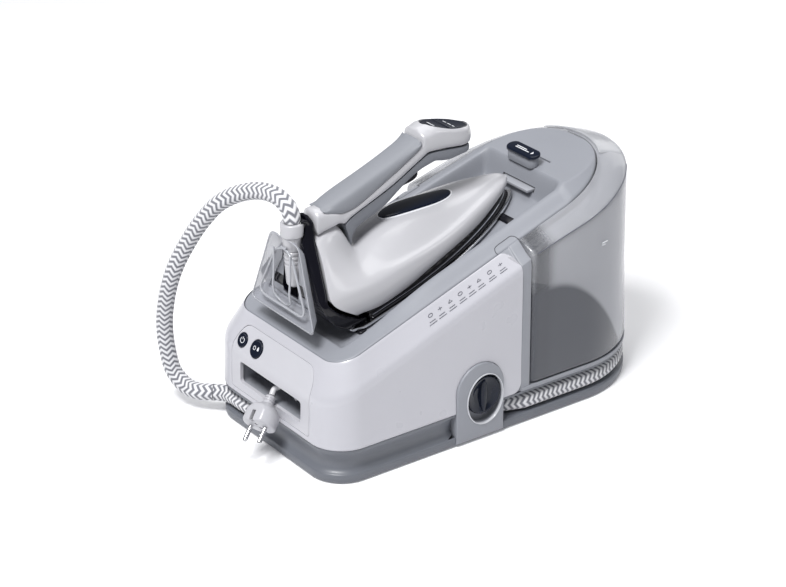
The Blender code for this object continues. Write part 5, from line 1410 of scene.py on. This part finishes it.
def build_heel():
    levels = [(3.9, 51.0, -18.8, 4.2), (8.0, 53.5, -22.0, 3.2), (12.6, 56.0, -27.0, -6.0),
              (20.0, 57.2, -34.0, -15.0),
              (31.0, 57.8, -40.0, -26.0), (42.0, 58.0, -43.6, -33.0), (50.0, 56.8, -44.5, -36.0),
              (60.0, 49.5, -40.6, -30.0), (71.0, 40.6, -36.0, -24.0), (90.0, 23.5, -28.0, -12.6),
              (105.0, 13.0, -22.0, -4.6), (112.0, 10.5, -16.0, -1.2), (119.0, 7.0, -9.5, -2.5)]
    rings = []
    for w, half, u0, u1 in levels:
        r = min(3.4, 0.35 * (u1 - u0), 0.4 * half)
        rings.append([iron_pt(x, u, w) for x, u in rounded_rectangle(-half, half, u0, u1, r, 5)])
    bm = carve(loft(refine_rows(rings, 4)), boot_slot(13.4))
    make("heel_arch", bm, BLACK, "iron", "heel_frame", sharp=36.0)
    axis = Vector((1.0, 0.0, 0.0))
    for side, label in ((1.0, "right"), (-1.0, "left")):
        spot = iron_pt(side * 4.0, -13.5, 113.0)
        boss = turned(spot, axis * side, rounded([(0.0, 7.6), (5.0, 7.6), (6.4, 6.6), (6.0, 4.6),
                                                  (5.2, 3.6), (5.4, 0.8)],
                                                 0.5), 48)
        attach(make("swivel_boss_" + label, boss, BLACK, None, sharp=36.0), "iron")

    def outline(half_low, half_high, low, high, inset, r):
        pts = []
        corners = [(half_low - inset, inset / 90.0), (half_high - inset, 1.0 - inset / 90.0)]
        quad = [(corners[0][0], corners[0][1]), (corners[1][0], corners[1][1]),
                (-corners[1][0], corners[1][1]), (-corners[0][0], corners[0][1])]
        flat = [Vector((x, t * 90.0, 0.0)) for x, t in quad]
        for i in range(4):
            a, b, c = flat[i - 1], flat[i], flat[(i + 1) % 4]
            p0, p1 = b + (a - b).normalized() * r, b + (c - b).normalized() * r
            for k in range(9):
                t = k / 8.0
                pts.append((1 - t) ** 2 * p0 + 2 * t * (1 - t) * b + t * t * p1)
        ring = []
        for p in pts:
            t = p.y / 90.0
            ring.append(iron_pt(p.x, low[0] + (high[0] - low[0]) * t, low[1] + (high[1] - low[1]) * t))
        return ring

    front_low, front_high = (-51.8, 32.0), (-27.6, 98.0)
    rear_low, rear_high = (-63.0, 27.0), (-32.5, 109.0)
    rings = [outline(50.0, 22.0, front_low, front_high, 0.0, 9.0),
             outline(57.4, 25.6, (-62.2, 27.4), (-32.1, 108.4), 0.0, 9.0),
             outline(58.0, 26.0, rear_low, rear_high, 0.3, 9.0),
             outline(58.0, 26.0, rear_low, rear_high, 1.6, 8.0),
             outline(58.0, 26.0, (rear_low[0] + 0.7, rear_low[1]), (rear_high[0] + 0.7, rear_high[1]), 2.6,
                     7.6),
             outline(50.0, 22.0, (front_low[0] - 2.6, front_low[1]), (front_high[0] - 1.2, front_high[1]),
                     3.4, 6.6)]
    window = [outline(50.0, 22.0, (low_u, 32.0), (high_u, 98.0), 13.0, 5.0)
              for low_u, high_u in ((-40.0, -15.0), (-70.0, -45.0))]
    bm = carve(loft(rings), boot_slot(13.8), loft(window))
    make("heel_dish", bm, STAND, "iron", "heel_stand", sharp=40.0)
    pane = [outline(50.0, 22.0, (-50.6 + d, 32.0), (-27.0 + d, 98.0), 12.6, 5.0) for d in (0.0, 1.0)]
    make("dish_pane", carve(loft(pane), boot_slot(13.8)), PANE, "iron", sharp=40.0)
    loops = (outline(58.0, 26.0, rear_low, rear_high, 1.6, 10.0),
             outline(52.0, 20.0, (-61.4, 33.0), (-34.6, 105.0), 8.5, 16.0))
    for i, loop in enumerate(loops):
        make(f"dish_rim_{i + 1}", tube(loop + loop[:2], (0.6, 1.3)[i], 10), RIM, "iron", sharp=60.0)
    inner = []
    for t in span(0.0, math.pi, 25):
        inner.append(iron_pt(-14.6 * math.cos(t), -55.5, 50.0 - 11.0 * math.sin(t)))
    channel = [iron_pt(-14.6, -40.5, 96.0), iron_pt(-14.6, -47.5, 74.0)] + inner
    channel += [iron_pt(14.6, -47.5, 74.0), iron_pt(14.6, -40.5, 96.0)]
    make("dish_channel", tube(smooth_path(channel, 3), 1.2, 10), RIM, "iron", sharp=60.0)


UNDERSIDE_LOW = [(30.0, 61.5), (33.0, 68.0), (38.0, 76.0), (48.0, 79.0), (60.0, 80.0), (80.0, 82.0),
                 (97.0, 88.0),
                 (120.0, 95.0), (134.0, 97.0), (150.0, 97.0), (164.0, 90.0), (192.0, 87.5)]
BAND_LOW = [(26.0, 86.0), (30.0, 91.5), (40.0, 95.5), (88.0, 99.5), (131.0, 108.5), (142.0, 111.0),
            (158.0, 107.0), (172.0, 102.0), (192.0, 95.5), (204.0, 98.0)]
GRIP_LOW = [(10.0, 117.0), (16.0, 113.5), (28.0, 107.0), (42.0, 104.5), (80.0, 110.0), (124.0, 119.5),
            (136.0, 124.0), (139.0, 127.5)]
GRIP_TOP = [(10.0, 119.5), (20.0, 121.5), (60.0, 124.0), (101.0, 127.0), (139.0, 131.5)]
GRIP_HALF = [(10.0, 13.0), (42.0, 16.0), (80.0, 15.5), (124.0, 16.0), (142.0, 17.5), (160.0, 19.5),
             (180.0, 20.5),
             (192.0, 18.4), (200.0, 12.5), (205.0, 6.0)]


def head_top(u):
    return 137.0 - 0.55 * (u - 153.0)


def section(half, u, low, high):
    """Rounded handle section, square to the handle."""
    pts = [(0.70 * half, low), (0.93 * half, low + 0.12 * (high - low)),
           (half, low + 0.38 * (high - low)), (half, low + 0.66 * (high - low)),
           (0.96 * half, low + 0.9 * (high - low)), (0.86 * half, high)]
    ring = pts + [(-x, w) for x, w in reversed(pts)]
    return [iron_pt(x, u, w) for x, w in ring]


def build_handle():
    rings = []
    for u, low, high in ((-2.4, 96.4, 103.0), (-1.0, 96.0, 108.0), (4.0, 96.0, 117.0), (10.0, 96.0, 116.0),
                         (16.0, 96.0, 113.6), (24.0, 96.0, 109.0)):
        rings.append(section(min(16.0, 13.0 + 0.15 * u), u, low, high))
    for u in (30.0, 36.0, 44.0, 62.0, 80.0, 98.0, 116.0, 131.0, 137.0, 140.5):
        low, high = smooth_table(BAND_LOW, u) + 0.3, smooth_table(GRIP_LOW, min(u, 136.0)) - 0.3
        rings.append(section(smooth_table(GRIP_HALF, u), u, low, high if u < 139.5 else 127.5))
    for u in (143.0, 148.0, 156.0, 166.0, 176.0, 186.0, 194.0, 199.0, 203.0, 205.0):
        top = min(head_top(u) - 0.8, 132.6)
        rings.append(section(smooth_table(GRIP_HALF, u), u, smooth_table(BAND_LOW, u) + 0.3, top))
    rings = [refine_ring(r, 3) for r in rings]
    face = []
    for lift in (-3.4, 12.0):
        face.append([iron_pt(17.1 * math.cos(t), 178.5 + 25.6 * math.sin(t),
                             head_top(178.5 + 25.6 * math.sin(t)) + lift)
                     for t in span(0.0, 2.0 * math.pi, 65)[:-1]])
    bm = carve(loft(refine_rows(rings, 3)), loft(face))
    make("handle_spine", bm, IRON_WHITE, "iron", "handle_core", sharp=44.0)

    grip = []
    for u in (11.0, 13.0, 18.0, 28.0, 42.0, 60.0, 80.0, 100.0, 120.0, 132.0, 137.2, 138.8):
        half, low, top = (smooth_table(t, u) for t in (GRIP_HALF, GRIP_LOW, GRIP_TOP))
        half += 0.35
        pts = [(0.97 * half, low), (half, low + 0.16 * (top - low)), (half * 0.985, low + 0.45 * (top - low)),
               (0.86 * half, top - 3.6), (0.62 * half, top - 1.3), (0.3 * half, top - 0.25)]
        if u > 138.0 or u < 12.0:
            pts = [(x * 0.94, w + (0.25 * (top - w) if w < low + 3.0 else -0.6)) for x, w in pts]
        ring = pts + [(0.0, top - (0.6 if u > 138.0 or u < 12.0 else 0.0))] + [(-x, w) for x,
                                                                               w in reversed(pts)]
        grip.append(refine_ring([iron_pt(x, u, w) for x, w in ring], 3, sharp=(0, 12)))
    make("grip_cover", loft(refine_rows(grip, 4)), GRIP, "iron", "handle_grip", sharp=44.0)

    under = []
    for u in (29.0, 31.0, 34.0, 40.0, 50.0, 62.0, 80.0, 97.0, 116.0, 131.0, 142.0, 150.0, 158.0, 166.0,
              178.0, 190.0, 193.0):
        half = smooth_table(GRIP_HALF, max(u, 42.0)) - 1.0
        low, top = smooth_table(UNDERSIDE_LOW, u), smooth_table(BAND_LOW, u)
        if u > 192.0:
            half, low = half * 0.9, low + 1.5
        pts = [(half, top), (half, top - 0.35 * (top - low)), (half * 0.95, low + 0.28 * (top - low)),
               (0.74 * half, low + 0.05 * (top - low)), (0.4 * half, low)]
        ring = pts + [(-x, w) for x, w in reversed(pts)]
        under.append(refine_ring([iron_pt(x, u, w) for x, w in ring], 3, sharp=(0, 9)))
    pocket = loft([[iron_pt(x, u, 60.0) for x, u in ((-9, 98), (9, 98), (9, 131), (-9, 131))],
                   [iron_pt(x, u, w) for x, u, w in ((-9, 98, 97.0), (9, 98, 97.0), (9, 131, 106.0),
                                                     (-9, 131, 106.0))]])
    make("handle_belly", carve(loft(refine_rows(under, 3)), pocket), UNDER, "iron", "handle_underside",
         sharp=44.0)

    levels = []
    for u, low, top in ((98.6, 91.4, 95.4), (104.0, 89.2, 97.0), (112.0, 88.2, 98.4), (120.0, 87.4, 99.6),
                        (125.5, 88.0, 100.4), (128.6, 89.8, 100.8), (129.5, 92.4, 101.0)):
        pts = [(6.2, low), (7.8, low + 1.0), (8.4, low + 2.8), (8.4, top)]
        ring = [iron_pt(x, u, w) for x, w in pts + [(-x, w) for x, w in reversed(pts)]]
        levels.append(refine_ring(ring, 2, sharp=(0, 3, 4, 7)))
    make("trigger_lever", loft(refine_rows(levels, 3)), BLACK, "steam_trigger", "steam_trigger", sharp=44.0)


def build_head_buttons():
    """Two dished caps that share the oval face of the handle head."""
    for name, u0, u1 in (("handle_rear_button", 154.0, 174.6), ("handle_front_button", 175.2, 203.2)):
        rings = []
        for lift, inset in ((-1.7, 0.3), (-0.9, 0.0), (-0.15, 0.15), (0.15, 0.7), (0.0, 1.6), (-0.35, 4.0)):
            rings.append([iron_pt(x, u, head_top(u) + lift) for x, u in button_outline(u0, u1, inset)])
        cap = make(name + "_cap", loft(rings), NAVY, name, name, sharp=50.0)
        spots = ((164.0, (-6.0, 6.0)),) if "rear" in name else ((184.0, (-8.5, -3.0)), (184.0, (-0.5, 5.0)),
                                                                (184.0, (7.0, 11.0)))
        for i, (u, (xa, xb)) in enumerate(spots):
            lows = [(xa, u - 0.6), (xb, u - 0.6), (xb, u + 0.6), (xa, u + 0.6)]
            rings = [[iron_pt(x, v, head_top(v) + h) for x, v in lows] for h in (-0.6, -0.12)]
            make(f"{name}_mark_{i + 1}", loft(rings), MARK_LIGHT, None).parent = cap


def button_outline(u0, u1, inset):
    mid, long_r, wide_r = 178.5, 24.8 - inset, 16.5 - inset
    u0, u1 = max(u0 + inset, mid - long_r), min(u1 - inset, mid + long_r)
    right = []
    for i in range(33):
        s = 0.5 - 0.5 * math.cos(math.pi * i / 32.0)
        u = u0 + (u1 - u0) * s
        right.append((max(wide_r * math.sqrt(max(0.0, 1.0 - ((u - mid) / long_r) ** 2)), 0.4), u))
    return right + [(-x, u) for x, u in reversed(right)]


def shell_top_at(x, u):
    """Height of the fine shell's crown at x, near the middle."""
    half = max(sole_half(u) + 0.6, 2.0)
    crease, top = smooth_table(SHELL_CREASE, u), smooth_table(SHELL_TOP, u)
    inner = max(half - 8.0, half * 0.6)
    table = [(0.0, top), (0.12 * inner, top - 0.1), (0.30 * inner, top - 1.1),
             (0.56 * inner, crease + 0.72 * (top - crease)), (0.8 * inner, crease + 0.36 * (top - crease))]
    return smooth_table(table, abs(x))


def build_inlay():
    """Glossy oval set on the crown of the shell, with a bright rim round it."""
    def ring(long_r, wide_r, lift):
        out = []
        for t in span(0.0, 2.0 * math.pi, 73)[:-1]:
            u = 120.5 + long_r * math.copysign(abs(math.cos(t)) ** 0.86, math.cos(t))
            x = wide_r * math.copysign(abs(math.sin(t)) ** 0.86, math.sin(t))
            out.append(iron_pt(x, u, shell_top_at(x, u) + lift))
        return out

    rings = [ring(44.0, 14.2, -1.0), ring(44.0, 14.2, 0.5), ring(43.6, 13.8, 0.9), ring(42.4, 12.6, 1.1),
             ring(30.0, 8.6, 1.2), ring(14.0, 4.0, 1.25)]
    make("inlay_gloss", loft(rings), NAVY, "iron", "label_inlay", sharp=40.0)
    rim = [ring(44.1, 14.3, -0.8), ring(45.4, 15.6, -0.6), ring(45.2, 15.4, 0.35), ring(44.4, 14.6, 0.55),
           ring(44.0, 14.2, 0.3)]
    make("inlay_rim", closed_band(rim), MARK_LIGHT, "iron", sharp=60.0)


# ---------------------------------------------------------------- marks on the bevel
def bevel_point(y, f, lift):
    """Point on the right-hand bevel at y, f of the way from crease to seam."""
    edge = deck_edge_x(0.0) + 0.6
    s = (y + 184.0) / 202.0
    half = (110.3 - 15.6 * f) + ((110.2 + (edge - 110.2) * f) - (110.3 - 15.6 * f)) * s
    z = crease_z(y) + (seam_z(y) - crease_z(y)) * f
    return Vector((half + 0.8 * lift, y, z + 0.6 * lift))


def build_bevel_marks():
    """Row of plain generic symbols over short lines, in place of the printed row."""
    for i, y in enumerate((-91.0, -79.0, -66.0, -53.0, -41.0, -29.0, -15.0, -1.0)):
        pieces = []
        if i % 3 == 0:
            ring = [bevel_point(y + 2.6 * math.cos(t), 0.66 + 0.055 * math.sin(t), 0.25)
                    for t in span(0.0, 2.0 * math.pi, 21)]
            pieces.append(tube(ring, 0.32, 6))
        elif i % 3 == 1:
            pieces.append(tube([bevel_point(y - 2.4, 0.66, 0.25), bevel_point(y + 2.4, 0.66, 0.25)], 0.32, 6))
            pieces.append(tube([bevel_point(y, 0.60, 0.25), bevel_point(y, 0.72, 0.25)], 0.32, 6))
        else:
            triangle = ((-2.4, 0.62), (0.0, 0.71), (2.4, 0.62), (-2.4, 0.62))
            pieces.append(tube([bevel_point(y + dy, f, 0.25) for dy, f in triangle], 0.32, 6))
        for f, width in ((0.45, 3.6), (0.36, 4.6)):
            pieces.append(tube([bevel_point(y - width, f, 0.15), bevel_point(y + width, f, 0.15)], 0.34, 6))
        for k, bm in enumerate(pieces):
            make(f"bevel_mark_{i + 1}_{k + 1}", bm, MARK, "station", sharp=60.0)


# ---------------------------------------------------------------- floor, light and camera
def area_light(name, place, target, size, power):
    data = bpy.data.lights.new(name, "AREA")
    data.shape = "RECTANGLE"
    data.size = size
    data.size_y = size
    data.energy = power
    obj = bpy.data.objects.new(name, data)
    obj.location = place
    obj.rotation_euler = (Vector(target) - Vector(place)).to_track_quat("-Z", "Y").to_euler()
    bpy.context.scene.collection.objects.link(obj)


CAMERA_AZ, CAMERA_EL = 53.8, 25.8
CAMERA_DISTANCE, CAMERA_LENS = 2.6237, 111.8
CAMERA_TARGET = (-0.0535, -0.0265, 0.1)


def build_stage():
    bm = bmesh.new()
    bmesh.ops.create_grid(bm, x_segments=1, y_segments=1, size=6.0)
    mesh = bpy.data.meshes.new("floor")
    bm.to_mesh(mesh)
    bm.free()
    floor = bpy.data.objects.new("floor", mesh)
    floor.location = (0.0, 0.0, -0.0005)
    bpy.context.scene.collection.objects.link(floor)
    sheet = plastic("mat_floor", (0.84, 0.84, 0.85), 0.7, 50.0, 0.0, 0.0, 0.003)
    glow = sheet.node_tree.nodes["Principled BSDF"]
    glow.inputs["Emission Color"].default_value = (0.95, 0.96, 1.0, 1.0)
    glow.inputs["Emission Strength"].default_value = 0.16
    mesh.materials.append(sheet)
    world = bpy.data.worlds.new("studio")
    bpy.context.scene.world = world
    world.use_nodes = True
    shade_node = world.node_tree.nodes["Background"]
    shade_node.inputs["Color"].default_value = (0.93, 0.94, 0.97, 1.0)
    shade_node.inputs["Strength"].default_value = 0.24
    area_light("key", (0.62, -1.45, 2.85), (0.0, 0.0, 0.12), 1.0, 118.0)
    area_light("top", (-0.5, 0.5, 2.3), (0.0, 0.0, 0.15), 1.5, 18.0)
    area_light("sheen", (1.35, 1.1, 1.45), (0.08, -0.05, 0.16), 0.55, 3.0)
    area_light("rear", (-0.9, 2.0, 1.0), (0.0, 0.1, 0.15), 1.0, 5.0)

    az, el, dist = math.radians(CAMERA_AZ), math.radians(CAMERA_EL), CAMERA_DISTANCE
    target = Vector(CAMERA_TARGET)
    data = bpy.data.cameras.new("camera")
    data.lens = CAMERA_LENS
    data.sensor_width = 36.0
    data.clip_end = 50.0
    camera = bpy.data.objects.new("camera", data)
    camera.location = target + dist * Vector((math.sin(az) * math.cos(el), -math.cos(az) * math.cos(el),
                                              math.sin(el)))
    camera.rotation_euler = (target - camera.location).to_track_quat("-Z", "Y").to_euler()
    bpy.context.scene.collection.objects.link(camera)
    bpy.context.scene.camera = camera
    bpy.context.scene.view_settings.view_transform = "Standard"


# ---------------------------------------------------------------- all pieces
build_base()
build_feet_and_screws()
build_casing_and_panel()
build_buttons()
build_rear_frame()
build_deck()
build_deck_seams()
build_lock()
build_tank()
build_lid()
build_drain()
for pad_name, px0, px1, pu0, pu1 in (("front", 40.0, 58.0, -14.0, -4.0), ("rear", 18.0, 42.0, 198.0, 208.0)):
    for pad_side, pad_label in ((-1.0, "left"), (1.0, "right")):
        make(f"pad_{pad_name}_{pad_label}", pad_shape(px0, px1, pu0, pu1, pad_side), PAD, "station",
             f"rest_pad_{pad_name}_{pad_label}", sharp=40.0)
build_inside()
build_cord_and_plug()
build_hose()
build_sole()
build_iron_shell()
build_heel()
build_handle()
build_head_buttons()
build_inlay()
build_bevel_marks()
build_stage()
